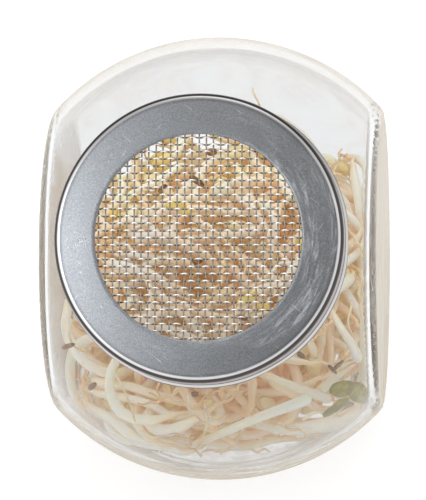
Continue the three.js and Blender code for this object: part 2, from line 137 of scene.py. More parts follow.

# The studio. Directions are a turn from -Y towards +X and a height, in degrees.
FLOOR_HALF = 3.0
FLOOR_GLOW = 0.78
WORLD_BRIGHT = 1.0
WORLD_DARK = 0.31
DARK_PATCH = (4.0, 44.0)
DARK_REACH = 30.0
LAMP_PATCH = (-31.0, 43.5)
LAMP_REACH = 11.5
LAMP_BRIGHT = 7.0
ROOM_COLOUR = (1.0, 0.995, 0.985)
LAMP_COLOUR = (0.93, 0.97, 1.0)
OVERHEAD_AT = (160.0, 80.0)
OVERHEAD_DISTANCE = 1.2
OVERHEAD_SIZE = (0.8, 0.5)
OVERHEAD_POWER = 2.5
LIGHT_BOUNCES = 32
DIFFUSE_BOUNCES = 10
BLACK = (0.0, 0.0, 0.0)
WHITE = (1.0, 1.0, 1.0)

# How finely the shapes are cut.
GLASS_COLUMNS = 240
OUTER_RINGS = (14, 112)  # beside the neck, and on from there to the far pole
INNER_RINGS = (12, 96)
NECK_RINGS = 44
BORE_RINGS = 8
LIP_STEPS = 5
NECK_SPAN = 0.11  # radians of closer rings beside the neck
POLE_GAP = 0.01  # radians between the last ring and the pole
INSIDE_ALL = 20.0  # a distance from the body's middle that is inside both skins
HALVINGS = 40
CAP_COLUMNS = 192
PANEL_RINGS = 14
SKIRT_RINGS = 8
WIRE_SIDES = 6
WIRE_STEPS = 4
STEM_RINGS = 28
ROOT_RINGS = 19
STEM_SIDES = 10
LOBE_RINGS = 11
LOBE_COLUMNS = 12
BLADE_RINGS = 15
BLADE_COLUMNS = 14

CENTRE = np.array([0.0, 0.0, CENTRE_HEIGHT])
LEAN = math.radians(45)
MOUTH_AXIS = np.array([0.0, -math.cos(LEAN), math.sin(LEAN)])
MOUTH_SIDE = np.array([1.0, 0.0, 0.0])
MOUTH_UP = np.array([0.0, math.sin(LEAN), math.cos(LEAN)])

# The camera looks nearly straight into the mouth, from a little right of its axis and a
# little below it, through a long lens. The jar's width runs along the picture's rows.
CAMERA_RIGHT = math.radians(5.0)
CAMERA_BELOW = math.radians(4.96)
CAMERA_DISTANCE = 1315.0
FRAME_WIDTH = 426
FRAME_HEIGHT = 500
PIXELS_PER_MM = 3.248  # at the middle of the round body
BODY_PIXEL = (219.6, 258.6)  # where the middle of the round body shows
SENSOR_SIZE = 36.0


# ------------------------------------------------------------------------- the camera
def camera_axes():
    """From the jar to the camera, and the picture's right and up."""
    ahead = MOUTH_AXIS * math.cos(CAMERA_BELOW) - MOUTH_UP * math.sin(CAMERA_BELOW)
    back = ahead * math.cos(CAMERA_RIGHT) + MOUTH_SIDE * math.sin(CAMERA_RIGHT)
    right = MOUTH_SIDE * math.cos(CAMERA_RIGHT) - ahead * math.sin(CAMERA_RIGHT)
    return back, right, np.cross(back, right)


def camera_place():
    back, right, up = camera_axes()
    across = (BODY_PIXEL[0] - FRAME_WIDTH / 2) / PIXELS_PER_MM
    down = (BODY_PIXEL[1] - FRAME_HEIGHT / 2) / PIXELS_PER_MM
    target = CENTRE - right * across + up * down
    return target + back * CAMERA_DISTANCE


def pixel_ray(x, y):
    """The direction from the camera through a pixel of the 426 x 500 picture."""
    back, right, up = camera_axes()
    focal = PIXELS_PER_MM * CAMERA_DISTANCE
    way = right * (x - FRAME_WIDTH / 2) / focal - up * (y - FRAME_HEIGHT / 2) / focal - back
    return way / np.linalg.norm(way)


def add_camera():
    camera = add_object("camera", bpy.data.cameras.new("camera"))
    camera.data.sensor_width = SENSOR_SIZE
    camera.data.lens = SENSOR_SIZE * PIXELS_PER_MM * CAMERA_DISTANCE / FRAME_HEIGHT
    camera.location = Vector(camera_place() * MM)
    back, right, up = camera_axes()
    camera.rotation_euler = Matrix((right, up, back)).transposed().to_euler()
    bpy.context.scene.camera = camera


# --------------------------------------------------------------------- mesh making
def add_object(name, data):
    added = bpy.data.objects.new(name, data)
    bpy.context.scene.collection.objects.link(added)
    return added


def mesh_piece(name, vertices, faces, body, materials, replaces=None):
    """A smooth mesh, given in millimetres, as a piece that rides on a body."""
    mesh = bpy.data.meshes.new(name)
    mesh.from_pydata((np.asarray(vertices) * MM).tolist(), [], faces)
    mesh.polygons.foreach_set("use_smooth", [True] * len(mesh.polygons))
    for material in materials:
        mesh.materials.append(material)
    piece = add_object(name, mesh)
    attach(piece, body)
    if replaces:
        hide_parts(replaces)
    return piece


def grid_faces(rings, columns, closed_rings=False, first=0):
    """Quads between rings of points: ring r's column c is vertex first + r * columns + c."""
    faces = []
    for r in range(rings if closed_rings else rings - 1):
        here = first + r * columns
        there = first + ((r + 1) % rings) * columns
        for c in range(columns):
            d = (c + 1) % columns
            faces.append((here + c, here + d, there + d, there + c))
    return faces


def capped_faces(rings, columns, first=0):
    """A closed skin: the rings' quads, and fans to two poles that follow the rings."""
    faces = grid_faces(rings, columns, first=first)
    start_pole = first + rings * columns
    last_ring = first + (rings - 1) * columns
    for c in range(columns):
        d = (c + 1) % columns
        faces.append((start_pole, first + d, first + c))
        faces.append((start_pole + 1, last_ring + c, last_ring + d))
    return faces


def full_turn(columns):
    return np.arange(columns) / columns * 2 * math.pi


def any_phase(random):
    """A random start for a wave."""
    return random.uniform(0, 6)


def square_to(way, aside):
    """The unit vector square to a way that is nearest to another vector."""
    aside = aside - way * (aside @ way)
    return aside / np.linalg.norm(aside)


def arc(radius, centre_radius, centre_along, from_degrees, to_degrees, steps):
    """Radii and distances along the neck's axis of the points of an arc in a section."""
    turns = np.radians(np.linspace(from_degrees, to_degrees, steps + 1))
    return [
        (centre_radius + radius * math.cos(turn), centre_along + radius * math.sin(turn))
        for turn in turns
    ]


def mouth_points(along, radius, turn):
    """Points by distance along the neck's axis, radius, and turn about the axis."""
    along, radius, turn = np.broadcast_arrays(along, radius, turn)
    return (
        CENTRE
        + along[..., None] * MOUTH_AXIS
        + (radius * np.cos(turn))[..., None] * MOUTH_SIDE
        + (radius * np.sin(turn))[..., None] * MOUTH_UP
    )


# ---------------------------------------------------------------------------- glass
# One skin of the glass is a sphere cut by the flat sides and the base, with round
# edges, and joined to the neck's cylinder.
OUTSIDE = (BODY_RADIUS, HALF_WIDTH, CENTRE_HEIGHT, EDGE_FILLET, NECK_RADIUS)
INSIDE = (
    BODY_RADIUS - WALL,
    HALF_WIDTH - WALL,
    CENTRE_HEIGHT - BASE_WALL,
    INNER_FILLET,
    BORE_RADIUS,
)


def round_edge(a, b, fillet, cosine):
    """The distance outside two faces that meet in a round edge.

    a and b are the distances outside each face, and cosine is that of the angle between
    the ways the faces look.
    """
    a, b = a + fillet, b + fillet
    from_edge = np.sqrt(np.maximum(a * a + b * b - 2 * a * b * cosine, 0) / (1 - cosine**2))
    is_round = (b > a * cosine) & (a > b * cosine)
    return np.where(is_round, from_edge, np.maximum(a, b)) - fillet


def round_union(a, b, fillet):
    under = np.hypot(np.maximum(fillet - a, 0), np.maximum(fillet - b, 0))
    return np.maximum(fillet, np.minimum(a, b)) - under


def skin_distance(p, skin):
    """How far points lie outside a skin, for points given from the sphere's centre."""
    radius, half_width, base, fillet, neck_radius = skin
    length = np.linalg.norm(p, axis=-1)
    from_sphere = length - radius
    from_side = np.abs(p[..., 0]) - half_width
    drum = round_edge(from_sphere, from_side, fillet, half_width / radius)
    sphere_share = np.clip((from_sphere - from_side) / fillet + 0.5, 0, 1)
    body = round_edge(drum, -p[..., 2] - base, fillet, sphere_share * base / radius)
    along = p @ MOUTH_AXIS
    across = np.sqrt(np.maximum(length * length - along * along, 0))
    neck = np.where(along > 0, across - neck_radius, BODY_RADIUS)
    return round_union(body, neck, NECK_FILLET)


def skin_points(skin, angle, turn):
    """Where rays from the sphere's centre, at an angle from the neck's axis, meet a skin."""
    angle, turn = np.broadcast_arrays(angle, turn)
    ways = mouth_points(np.cos(angle), np.sin(angle), turn) - CENTRE
    inner = np.full(angle.shape, INSIDE_ALL)
    outer = np.full(angle.shape, skin[0] + 4 * NECK_FILLET)
    for _ in range(HALVINGS):
        middle = (inner + outer) / 2
        is_inside = skin_distance(ways * middle[..., None], skin) < 0
        inner = np.where(is_inside, middle, inner)
        outer = np.where(is_inside, outer, middle)
    return CENTRE + ways * middle[..., None]


def smooth_hump(offset, half_width):
    return np.cos(np.clip(offset / half_width, -1, 1) * math.pi / 2) ** 2


def turn_from_lug(turn):
    """How far each turn is from the middle of the nearest lug."""
    pitch = 2 * math.pi / LUG_COUNT
    return np.abs((turn + pitch / 2) % pitch - pitch / 2)


def thread_height(along, turn):
    """How far the bead and the six thread ridges stand out of the neck."""
    bead = BEAD_OUT * smooth_hump(along - BEAD_AT, BEAD_HALF)
    ends = np.clip((RIDGE_SPAN / 2 - turn_from_lug(turn)) / RIDGE_FADE, 0, 1)
    ridge = RIDGE_OUT * smooth_hump(along - RIDGE_AT, RIDGE_HALF) * ends
    return bead + ridge


def ring_angles(neck_radius, neck_end, rings):
    """The angles of a skin's rings, from where the neck ends to near the far pole."""
    first = math.atan2(neck_radius, neck_end)
    beside = np.linspace(first, first + NECK_SPAN, rings[0])
    onwards = np.linspace(first + NECK_SPAN + POLE_GAP, math.pi - POLE_GAP, rings[1])
    return np.concatenate([beside, onwards])[:, None]


def jar_glass(material):
    """Rings of points from the far pole up the outside, over the lip and down the inside."""
    turn = full_turn(GLASS_COLUMNS)
    neck_start = BEAD_AT - 1.2 * BEAD_HALF
    lip_start = LIP - LIP_ROUND
    neck_along = np.linspace(neck_start, lip_start, NECK_RINGS)[1:-1, None]
    bore_along = np.linspace(lip_start, BORE_END, BORE_RINGS)[1:-1, None]
    lip = arc(LIP_ROUND, NECK_RADIUS - LIP_ROUND, lip_start, 0, 90, LIP_STEPS)
    lip += arc(LIP_ROUND, BORE_RADIUS + LIP_ROUND, lip_start, 90, 180, LIP_STEPS)
    rings = [
        skin_points(OUTSIDE, ring_angles(NECK_RADIUS, neck_start, OUTER_RINGS)[::-1], turn),
        mouth_points(neck_along, NECK_RADIUS + thread_height(neck_along, turn), turn),
        *[mouth_points(along, radius, turn)[None] for radius, along in lip],
        mouth_points(bore_along, BORE_RADIUS, turn),
        skin_points(INSIDE, ring_angles(BORE_RADIUS, BORE_END, INNER_RINGS), turn),
    ]
    grid = np.concatenate(rings)
    poles = skin_points(OUTSIDE, math.pi, 0.0), skin_points(INSIDE, math.pi, 0.0)
    vertices = np.concatenate([grid.reshape(-1, 3), *[pole.reshape(1, 3) for pole in poles]])
    faces = capped_faces(len(grid), GLASS_COLUMNS)
    mesh_piece("jar_glass_clear", vertices, faces, "jar", [material], "jar_glass")


# ------------------------------------------------------------------------------ cap
def panel_top(radius):
    share = (radius - WINDOW_RADIUS) / (PANEL_EDGE - WINDOW_RADIUS)
    return PANEL_TOP - PANEL_DROP * share**PANEL_CURVE


def lug_press(turn):
    """How far the curl is pressed inwards at each turn: six short lugs."""
    return LUG_PRESS * smooth_hump(turn_from_lug(turn), LUG_SPAN)


def lid_cap(material):
    """The cap's section, from under the shoulder round its outside, turned about the axis."""
    turn = full_turn(CAP_COLUMNS)
    shoulder = SKIRT_RADIUS - PANEL_EDGE
    shoulder_at = PANEL_TOP - PANEL_DROP - shoulder
    hem_ring = WINDOW_RADIUS + HEM_RADIUS
    curl_top = CURL_AT + CURL_RADIUS
    panel = np.linspace(hem_ring, PANEL_EDGE, PANEL_RINGS)[1:-1]
    panel = [(r, panel_top(r)) for r in panel]
    under = [(r, along - SHEET) for r, along in panel if r > hem_ring + HEM_RADIUS]
    skirt = np.linspace(shoulder_at, curl_top, SKIRT_RINGS)[1:-1]
    profile = [
        *arc(shoulder - SHEET, PANEL_EDGE, shoulder_at, 0, 90, steps=6),
        *under[::-1],
        *arc(HEM_RADIUS, hem_ring, PANEL_TOP - HEM_RADIUS, 270, 90, steps=12),
        *panel,
        *arc(shoulder, PANEL_EDGE, shoulder_at, 90, 0, steps=10),
        *[(SKIRT_RADIUS, along) for along in skirt],
        *arc(CURL_RADIUS, CURL_RING, CURL_AT, *CURL_TURN, steps=20),
        (SKIRT_RADIUS - SHEET, curl_top),
    ]
    radius, along = np.array(profile).T[:, :, None]
    low = np.clip((CURL_AT + 3 * CURL_RADIUS - along) / (2 * CURL_RADIUS), 0, 1)
    grid = mouth_points(along, radius - low * lug_press(turn), turn)
    faces = grid_faces(len(grid), CAP_COLUMNS, closed_rings=True)
    faces = [face[::-1] for face in faces]
    points = grid.reshape(-1, 3)
    mesh_piece("lid_cap_steel", points, faces, "lid", [material], "lid_cap")


# ------------------------------------------------------------------------ wire cloth
def line_ways(points):
    """Which way a line of points runs at each of them."""
    ways = np.gradient(points, axis=0)
    return ways / np.linalg.norm(ways, axis=1)[:, None]


def tube(points, normals, radius, sides):
    """Rings of a tube's points round a line of points that stays square to its normals."""
    across = np.cross(line_ways(points), normals)
    turn = full_turn(sides)
    return (
        points[:, None]
        + radius * np.cos(turn)[None, :, None] * normals[:, None]
        + radius * np.sin(turn)[None, :, None] * across[:, None]
    )


def woven_wires(name, node, along_side, crimp, sway, first_over, seed, material):
    """One layer of the cloth: wires that pass over and under those of the other layer."""
    random = np.random.default_rng(seed)
    count = int((CLOTH_RADIUS - WIRE) / WIRE_PITCH)
    run, step = (MOUTH_SIDE, MOUTH_UP) if along_side else (MOUTH_UP, MOUTH_SIDE)
    vertices = []
    faces = []
    for i in range(-count, count + 1):
        offset = i * WIRE_PITCH
        reach = math.sqrt(CLOTH_RADIUS**2 - offset**2)
        spots = np.linspace(-reach, reach, 2 * int(reach / WIRE_PITCH * WIRE_STEPS) + 1)
        phase = math.pi * (spots / WIRE_PITCH + i + first_over)
        shift = random.normal(0, WIRE_SHIFT)
        drift = shift + WIRE_BEND * np.sin(spots / WIRE_BEND_LENGTH + any_phase(random))
        height = CLOTH_MIDDLE + crimp * np.cos(phase)
        points = (
            CENTRE
            + spots[:, None] * run
            + (offset + drift + sway * np.cos(phase))[:, None] * step
            + height[:, None] * MOUTH_AXIS
        )
        ways = np.gradient(points, axis=0)
        normals = np.cross(np.broadcast_to(step, ways.shape), ways)
        normals /= np.linalg.norm(normals, axis=1)[:, None]
        rings = tube(points, normals, WIRE / 2, WIRE_SIDES)
        first = sum(map(len, vertices))
        ends = points[[0, -1]]
        vertices.append(np.concatenate([rings.reshape(-1, 3), ends]))
        faces += capped_faces(len(rings), WIRE_SIDES, first=first)
    mesh_piece(name, np.concatenate(vertices), faces, "lid", [material], node)


# ---------------------------------------------------------------- how the sprouts lie
# The sprouts fall into the jar and push each other apart, by the same steps and the same
# numbers as the frame's own sprouts, in millimetres from the middle of the round body.
SPROUT_COUNT = 350
SPROUTS_IN_FRAME = 50
FIRST_HOOK = 1
FIRST_STEM = 4
FIRST_ROOT = 9
SPROUT_RADII = (1.62, 2.1, 1.45, 1.42, 1.47, 1.5, 1.52, 1.48, 1.3, 0.82, 0.55, 0.42, 0.3)
SPROUT_POINTS = len(SPROUT_RADII)
LINK = (4.7, 5.7)
GIRTH = (0.78, 1.2)
HOOK_BEND = (0.05, 0.14)
STEM_BEND = (0.004, 0.03)
ROOT_BEND = (0.02, 0.09)
SWAY = 0.3
START_MARGIN = (12.0, 18.0, 26.0)
START_DROP = 8.0
SPROUT_GAP = 0.35
GLASS_GAP = 0.6
HEAP_TOP = 15.0
SETTLE_STEPS = 800
FALL_STEPS = 150
FALL = (0.0, 0.09, -0.2)
PUSH = 0.5
STIFFNESS = (1.0, 0.5, 0.35, 0.25)
LIST_EVERY = 8
LIST_REACH = 10.8
SIDE_CUT = 1.6
HEEL_CUT = 9.0
RANDOM_SEED = 20260711


class Draws:
    """Random numbers that are the same in every language."""

    SPAN = 2**32
    FACTOR = 1664525
    STEP = 1013904223

    def __init__(self, seed):
        self.state = seed

    def unit(self):
        self.state = (self.state * self.FACTOR + self.STEP) % self.SPAN
        return self.state / self.SPAN

    def between(self, limits):
        return limits[0] + (limits[1] - limits[0]) * self.unit()

    def in_cube(self):
        return 2 * self.unit() - 1, 2 * self.unit() - 1, 2 * self.unit() - 1

    def direction(self):
        while True:
            x, y, z = self.in_cube()
            size = math.sqrt(x * x + y * y + z * z)
            if 0.2 < size < 1:
                return x / size, y / size, z / size

    def start_point(self):
        while True:
            x, y, z = self.in_cube()
            if x * x + y * y + z * z <= 1:
                return [
                    x * (HALF_WIDTH - START_MARGIN[0]),
                    y * (BODY_RADIUS - START_MARGIN[1]),
                    z * (BODY_RADIUS - START_MARGIN[2]) - START_DROP,
                ]


def unit_vector(x, y, z):
    size = math.sqrt(x * x + y * y + z * z)
    return x / size, y / size, z / size


def perpendicular(n, d):
    along = n[0] * d[0] + n[1] * d[1] + n[2] * d[2]
    return unit_vector(n[0] - along * d[0], n[1] - along * d[1], n[2] - along * d[2])


def grown_sprout(draws):
    """A sprout as it grew: hooked below the seed leaves, then a long lazy bend."""
    link = draws.between(LINK)
    girth = draws.between(GIRTH)
    hook = draws.between(HOOK_BEND)
    stem = draws.between(STEM_BEND)
    root = draws.between(ROOT_BEND)
    d = draws.direction()
    n = perpendicular(draws.direction(), d)
    point = draws.start_point()
    points = []
    for k in range(SPROUT_POINTS):
        points.append(tuple(point))
        is_hook = FIRST_HOOK <= k < FIRST_STEM
        bend = (hook if is_hook else root if k >= FIRST_ROOT else stem) * link
        d = unit_vector(d[0] + n[0] * bend, d[1] + n[1] * bend, d[2] + n[2] * bend)
        sway = draws.direction()
        n = perpendicular([n[i] + SWAY * sway[i] for i in range(3)], d)
        for i in range(3):
            point[i] += d[i] * link
    return points, [radius * girth for radius in SPROUT_RADII]


def near_pairs(p):
    """Pairs of links, of two different sprouts, whose middles are near each other."""
    per_sprout = SPROUT_POINTS - 1
    starts = np.arange(SPROUT_COUNT)[:, None] * SPROUT_POINTS
    first = (starts + np.arange(per_sprout)).ravel()
    middle = (p[:, first] + p[:, first + 1]) * 0.5
    found_a = []
    found_b = []
    for start in range(0, len(first) - per_sprout, per_sprout):
        end = start + per_sprout
        x, y, z = middle[:, None, end:] - middle[:, start:end, None]
        a, b = np.nonzero(x * x + y * y + z * z < LIST_REACH * LIST_REACH)
        found_a.append(first[start + a])
        found_b.append(first[end + b])
    return np.concatenate(found_a), np.concatenate(found_b)


def dot(u, v):
    return u[0] * v[0] + u[1] * v[1] + u[2] * v[2]


def closest(p, a, b):
    """Where links a and b come closest: each one's share of its way, and the step between."""
    u = p[:, a + 1] - p[:, a]
    v = p[:, b + 1] - p[:, b]
    w = p[:, a] - p[:, b]
    uu, vv, uv, uw, vw = dot(u, u), dot(v, v), dot(u, v), dot(u, w), dot(v, w)
    spread = np.maximum(uu * vv - uv * uv, 1e-9)
    guess = np.clip((uv * vw - vv * uw) / spread, 0, 1)
    t = np.clip((uv * guess + vw) / vv, 0, 1)
    s = np.clip((uv * t - uw) / uu, 0, 1)
    return s, t, w + u * s - v * t


def push_apart(p, radii, pairs):
    a, b = pairs
    s, t, step = closest(p, a, b)
    size = np.maximum(np.sqrt(dot(step, step)), 1e-6)
    girths = np.maximum(radii[a], radii[a + 1]) + np.maximum(radii[b], radii[b + 1])
    reach = girths + SPROUT_GAP
    near = size < reach
    a, b, s, t, size, reach = (values[near] for values in (a, b, s, t, size, reach))
    move = step[:, near] * ((reach - size) / size * PUSH)
    moves = np.zeros_like(p)
    for i in range(3):
        np.add.at(moves[i], a, move[i] * (1 - s))
        np.add.at(moves[i], a + 1, move[i] * s)
        np.add.at(moves[i], b, move[i] * (t - 1))
        np.add.at(moves[i], b + 1, move[i] * -t)
    p += moves


def hold_spans(p, rests):
    """Keeps the points of each sprout as far apart as they grew."""
    q = p.reshape(3, SPROUT_COUNT, SPROUT_POINTS)
    for (links, k), rest in rests.items():
        step = q[:, :, k + links] - q[:, :, k]
        size = np.sqrt(dot(step, step))
        share = ((size - rest) / size) * (0.5 * STIFFNESS[links - 1])
        q[:, :, k] += step * share
        q[:, :, k + links] -= step * share


def rest_spans(p):
    q = p.reshape(3, SPROUT_COUNT, SPROUT_POINTS)
    rests = {}
    for links in range(1, len(STIFFNESS) + 1):
        for k in range(SPROUT_POINTS - links):
            step = q[:, :, k + links] - q[:, :, k]
            rests[links, k] = np.sqrt(dot(step, step))
    return rests


ROOM_RADIUS = BODY_RADIUS - WALL - GLASS_GAP
ROOM_HALF_WIDTH = HALF_WIDTH - WALL - GLASS_GAP
ROOM_BASE = CENTRE_HEIGHT - BASE_WALL - GLASS_GAP


def corner_cone(flat, cut):
    """The cone that cuts off the corner where the sphere meets a flat."""
    rim = math.sqrt(ROOM_RADIUS * ROOM_RADIUS - flat * flat)
    out = math.sqrt((1 + flat / ROOM_RADIUS) * 0.5)
    side = math.sqrt((1 - flat / ROOM_RADIUS) * 0.5)
    return out, side, flat * out + rim * side - cut


def keep_from_corner(high, a, b, flat, cut, radii):
    """Keeps points in from the cone at a flat's corner.

    high is how far they are towards the flat, and a and b where they are along it.
    """
    out, side, corner = corner_cone(flat, cut)
    ring = np.sqrt(a * a + b * b)
    over = high * out + ring * side - (corner - radii)
    beyond = (over > 0) & (ring > 1)
    share = np.where(beyond, (ring - over * side) / ring, 1.0)
    return np.where(beyond, high - over * out, high), a * share, b * share


def keep_inside(p, radii):
    """Keeps the points inside the glass: sphere, flat sides, base and the corners between."""
    x, y, z = p
    size = np.sqrt(x * x + y * y + z * z)
    furthest = ROOM_RADIUS - radii
    share = np.where(size > furthest, furthest / size, 1.0)
    x, y, z = x * share, y * share, z * share
    high, y, z = keep_from_corner(np.abs(x), y, z, ROOM_HALF_WIDTH, SIDE_CUT, radii)
    x = np.where(x > 0, high, -high)
    deep, x, y = keep_from_corner(-z, x, y, ROOM_BASE, HEEL_CUT, radii)
    p[0] = np.minimum(np.maximum(x, radii - ROOM_HALF_WIDTH), ROOM_HALF_WIDTH - radii)
    p[1] = y
    p[2] = np.minimum(np.maximum(-deep, radii - ROOM_BASE), HEAP_TOP - radii)


def settled_sprouts():
    """The centrelines, as an array [sprout, point, xyz], and the radii of the sprouts."""
    draws = Draws(RANDOM_SEED)
    grown = [grown_sprout(draws) for _ in range(SPROUT_COUNT)]
    p = np.array([point for points, _ in grown for point in points]).T.copy()
    radii = np.array([radius for _, sprout_radii in grown for radius in sprout_radii])
    rests = rest_spans(p)
    fall = np.array(FALL)[:, None]
    for step in range(SETTLE_STEPS):
        if step % LIST_EVERY == 0:
            pairs = near_pairs(p)
        if step < FALL_STEPS:
            p += fall
        hold_spans(p, rests)
        push_apart(p, radii, pairs)
        keep_inside(p, radii)
    points = p.T.reshape(SPROUT_COUNT, SPROUT_POINTS, 3)
    return points, radii.reshape(SPROUT_COUNT, SPROUT_POINTS)


def glass_distances(points):
    """How near each sprout lies to the glass: the mean distance of its points from it."""
    x, y, z = np.moveaxis(points, -1, 0)
    to_sphere = ROOM_RADIUS - np.sqrt(x * x + y * y + z * z)
    distances = np.minimum(np.minimum(to_sphere, ROOM_HALF_WIDTH - np.abs(x)), ROOM_BASE + z)
    return distances.mean(axis=1)


# ----------------------------------------------------------------- how a sprout looks
def spline(points, at):
    """Points of a smooth curve through the given ones, at places counted in points."""
    padded = np.concatenate(
        [2 * points[:1] - points[1:2], points, 2 * points[-1:] - points[-2:-1]]
    )
    start = np.clip(np.floor(at).astype(int), 0, len(points) - 2)
    t = (at - start)[:, None]
    a, b, c, d = (padded[start + i] for i in range(4))
    return b + t * (c - a + t * (2 * a - 5 * b + 4 * c - d + t * (3 * (b - c) + d - a))) / 2


def carried_normals(points):
    """The ways along a curve, and normals to them that turn as little as they can."""
    ways = line_ways(points)
    normal = np.cross(ways[0], FIRST_ASIDE)
    normals = []
    for way in ways:
        normal = square_to(way, normal)
        normals.append(normal)
    return ways, np.array(normals)


def closed_part(grid, poles, along, pole_along=(0, 1)):
    """A closed skin of rings of points, with how far along its sprout each vertex is."""
    rings, columns = grid.shape[:2]
    vertices = np.concatenate([grid.reshape(-1, 3), poles])
    share = np.concatenate([np.repeat(along, columns), pole_along])
    return vertices, capped_faces(rings, columns), share


def stem_part(points, radii, random):
    """The stem and root: a tube that swells, wrinkles and tapers to the root's tip."""
    last = SPROUT_POINTS - 1
    stem = np.linspace(STEM_START, FIRST_ROOT, STEM_RINGS)
    at = np.concatenate([stem, np.linspace(FIRST_ROOT, last, ROOT_RINGS)[1:]])
    line = spline(points, at)
    below_head = radii[2] * np.array(BELOW_HEAD)
    radius = np.interp(at, np.arange(SPROUT_POINTS), np.concatenate([below_head, radii[2:]]))
    rootness = np.clip((at - ROOT_FROM) / ROOT_FADE, 0, 1)
    lumps = sum(
        random.uniform(*LUMP_SIZE) * np.sin(at * rate + any_phase(random))
        for rate in LUMP_RATES
    )
    wrinkles = math.prod(np.sin(at * rate + any_phase(random)) for rate in WRINKLE_RATES)
    radius = radius * (1 + STEM_LUMPS * lumps + ROOT_WRINKLES * rootness * wrinkles)
    ways, normals = carried_normals(line)
    across = np.cross(ways, normals)
    for rate, aside in zip(WIGGLE_RATES, (normals, across)):
        wiggle = ROOT_WIGGLE * rootness * np.sin(at * rate + any_phase(random))
        line = line + wiggle[:, None] * aside
    turn = full_turn(STEM_SIDES)
    flat = random.uniform(*STEM_FLATNESS)
    rings = (
        line[:, None]
        + (radius[:, None] * np.cos(turn))[..., None] * normals[:, None]
        + (radius[:, None] * np.sin(turn) * flat)[..., None] * across[:, None]
    )
    start = line[0] - ways[0] * radius[0] * STEM_ENDS[0]
    end = line[-1] + ways[-1] * radius[-1] * STEM_ENDS[1]
    return closed_part(rings, [start, end], (at - STEM_START) / (last - STEM_START))


def leaf_rings(rings):
    """The angles from a leaf's foot to its tip at which its rings lie."""
    return np.linspace(0, math.pi, rings + 2)[1:-1, None]


def swollen(theta, bluntness, fullness):
    """How wide a leaf is at each ring, as a share of its full width."""
    return np.sin(theta) ** bluntness * (1 + fullness * np.cos(theta))


def leaf_part(base, way, length, theta, side, spread, out, depth):
    """A closed leaf of rings, each spread to its sides and deep outwards."""
    along = (1 - np.cos(theta)) / 2
    grid = base + along[..., None] * length * way
    grid = grid + spread[..., None] * side + depth[..., None] * out
    return closed_part(grid, [base, base + way * length], along)


def lobe_part(base, way, out, side, length, width, thick):
    """Half a bean: round outside, nearly flat inside, growing from base along way."""
    theta, turn = leaf_rings(LOBE_RINGS), full_turn(LOBE_COLUMNS)
    swell = swollen(theta, *LOBE_SWELL)
    outwards = np.cos(turn)
    depth = np.where(outwards > 0, outwards, LOBE_INSIDE * outwards) * swell * thick
    depth = depth + LOBE_ARCH * thick * np.sin(theta)
    spread = np.sin(turn) * swell * width / 2
    return leaf_part(base, way, length, theta, side, spread, out, depth)


def head_parts(points, radii, random):
    """The two seed leaves, folded together or a little apart."""
    base = spline(points, np.array([HEAD_FOOT]))[0]
    tip = points[0]
    way = (tip - base) / np.linalg.norm(tip - base)
    _, normals = carried_normals(points[:3][::-1])
    out = square_to(way, normals[0])
    side = np.cross(way, out)
    length = np.linalg.norm(tip - base) + LOBE_PAST * radii[0]
    parts = []
    for sign in (1, -1):
        gape = random.uniform(0.0, LOBE_GAPE)
        lobe_way = way * math.cos(gape) + sign * out * math.sin(gape)
        lobe_out = sign * out * math.cos(gape) - way * math.sin(gape)
        width = radii[1] * random.uniform(*LOBE_WIDTH)
        thick = radii[1] * random.uniform(*LOBE_THICKNESS)
        lobe_length = length * random.uniform(*LOBE_LENGTH)
        foot = base + sign * out * LOBE_GAP
        parts.append(lobe_part(foot, lobe_way, lobe_out, side, lobe_length, width, thick))
    return parts


def join_parts(parts):
    """One list of vertices, faces and growth colours from several (slot, colours, part).

    Each part is its vertices, its faces and how far along the sprout each vertex is. The
    colours hold that, then the two random numbers that vary a sprout's look.
    """
    vertices = []
    faces = []
    colours = []
    slots = []
    first = 0
    for slot, looks, (part_vertices, part_faces, part_share) in parts:
        vertices.append(part_vertices)
        faces += [tuple(first + i for i in face) for face in part_faces]
        colour = np.ones((len(part_vertices), 4))
        colour[:, 0] = part_share
        colour[:, 1:3] = looks
        colours.append(colour)
        slots += [slot] * len(part_faces)
        first += len(part_vertices)
    return np.concatenate(vertices), faces, np.concatenate(colours), slots


def grown_piece(name, parts, materials, node=None):
    """One piece of several parts, with the growth colours that its materials read."""
    vertices, faces, colours, slots = join_parts(parts)
    piece = mesh_piece(name, vertices, faces, "jar", materials, node)
    piece.data.polygons.foreach_set("material_index", slots)
    growth = piece.data.attributes.new("growth", "FLOAT_COLOR", "POINT")
    growth.data.foreach_set("color", colours.ravel())


def sprout_parts(index, points, radii, tones):
    """One grown sprout; its tone, from white to peach, is drawn between the two given."""
    random = np.random.default_rng(SHAPE_SEED + index)
    stem = stem_part(points, radii, random)
    seed_leaves = head_parts(points, radii, random)
    looks = (random.uniform(*tones), random.random())
    return [(0, looks, stem)] + [(1, looks, leaf) for leaf in seed_leaves]


def blocks_view(points):
    """Whether a sprout crosses one of the sight lines that stay open through the heap."""
    line = spline(points, np.linspace(0, len(points) - 1, 4 * len(points)))
    offset = line + CENTRE - camera_place()
    for x, y, reach in OPEN_VIEWS:
        way = pixel_ray(x, y)
        apart = np.linalg.norm(offset - (offset @ way)[:, None] * way, axis=1)
        if apart.min() < reach:
            return True
    return False


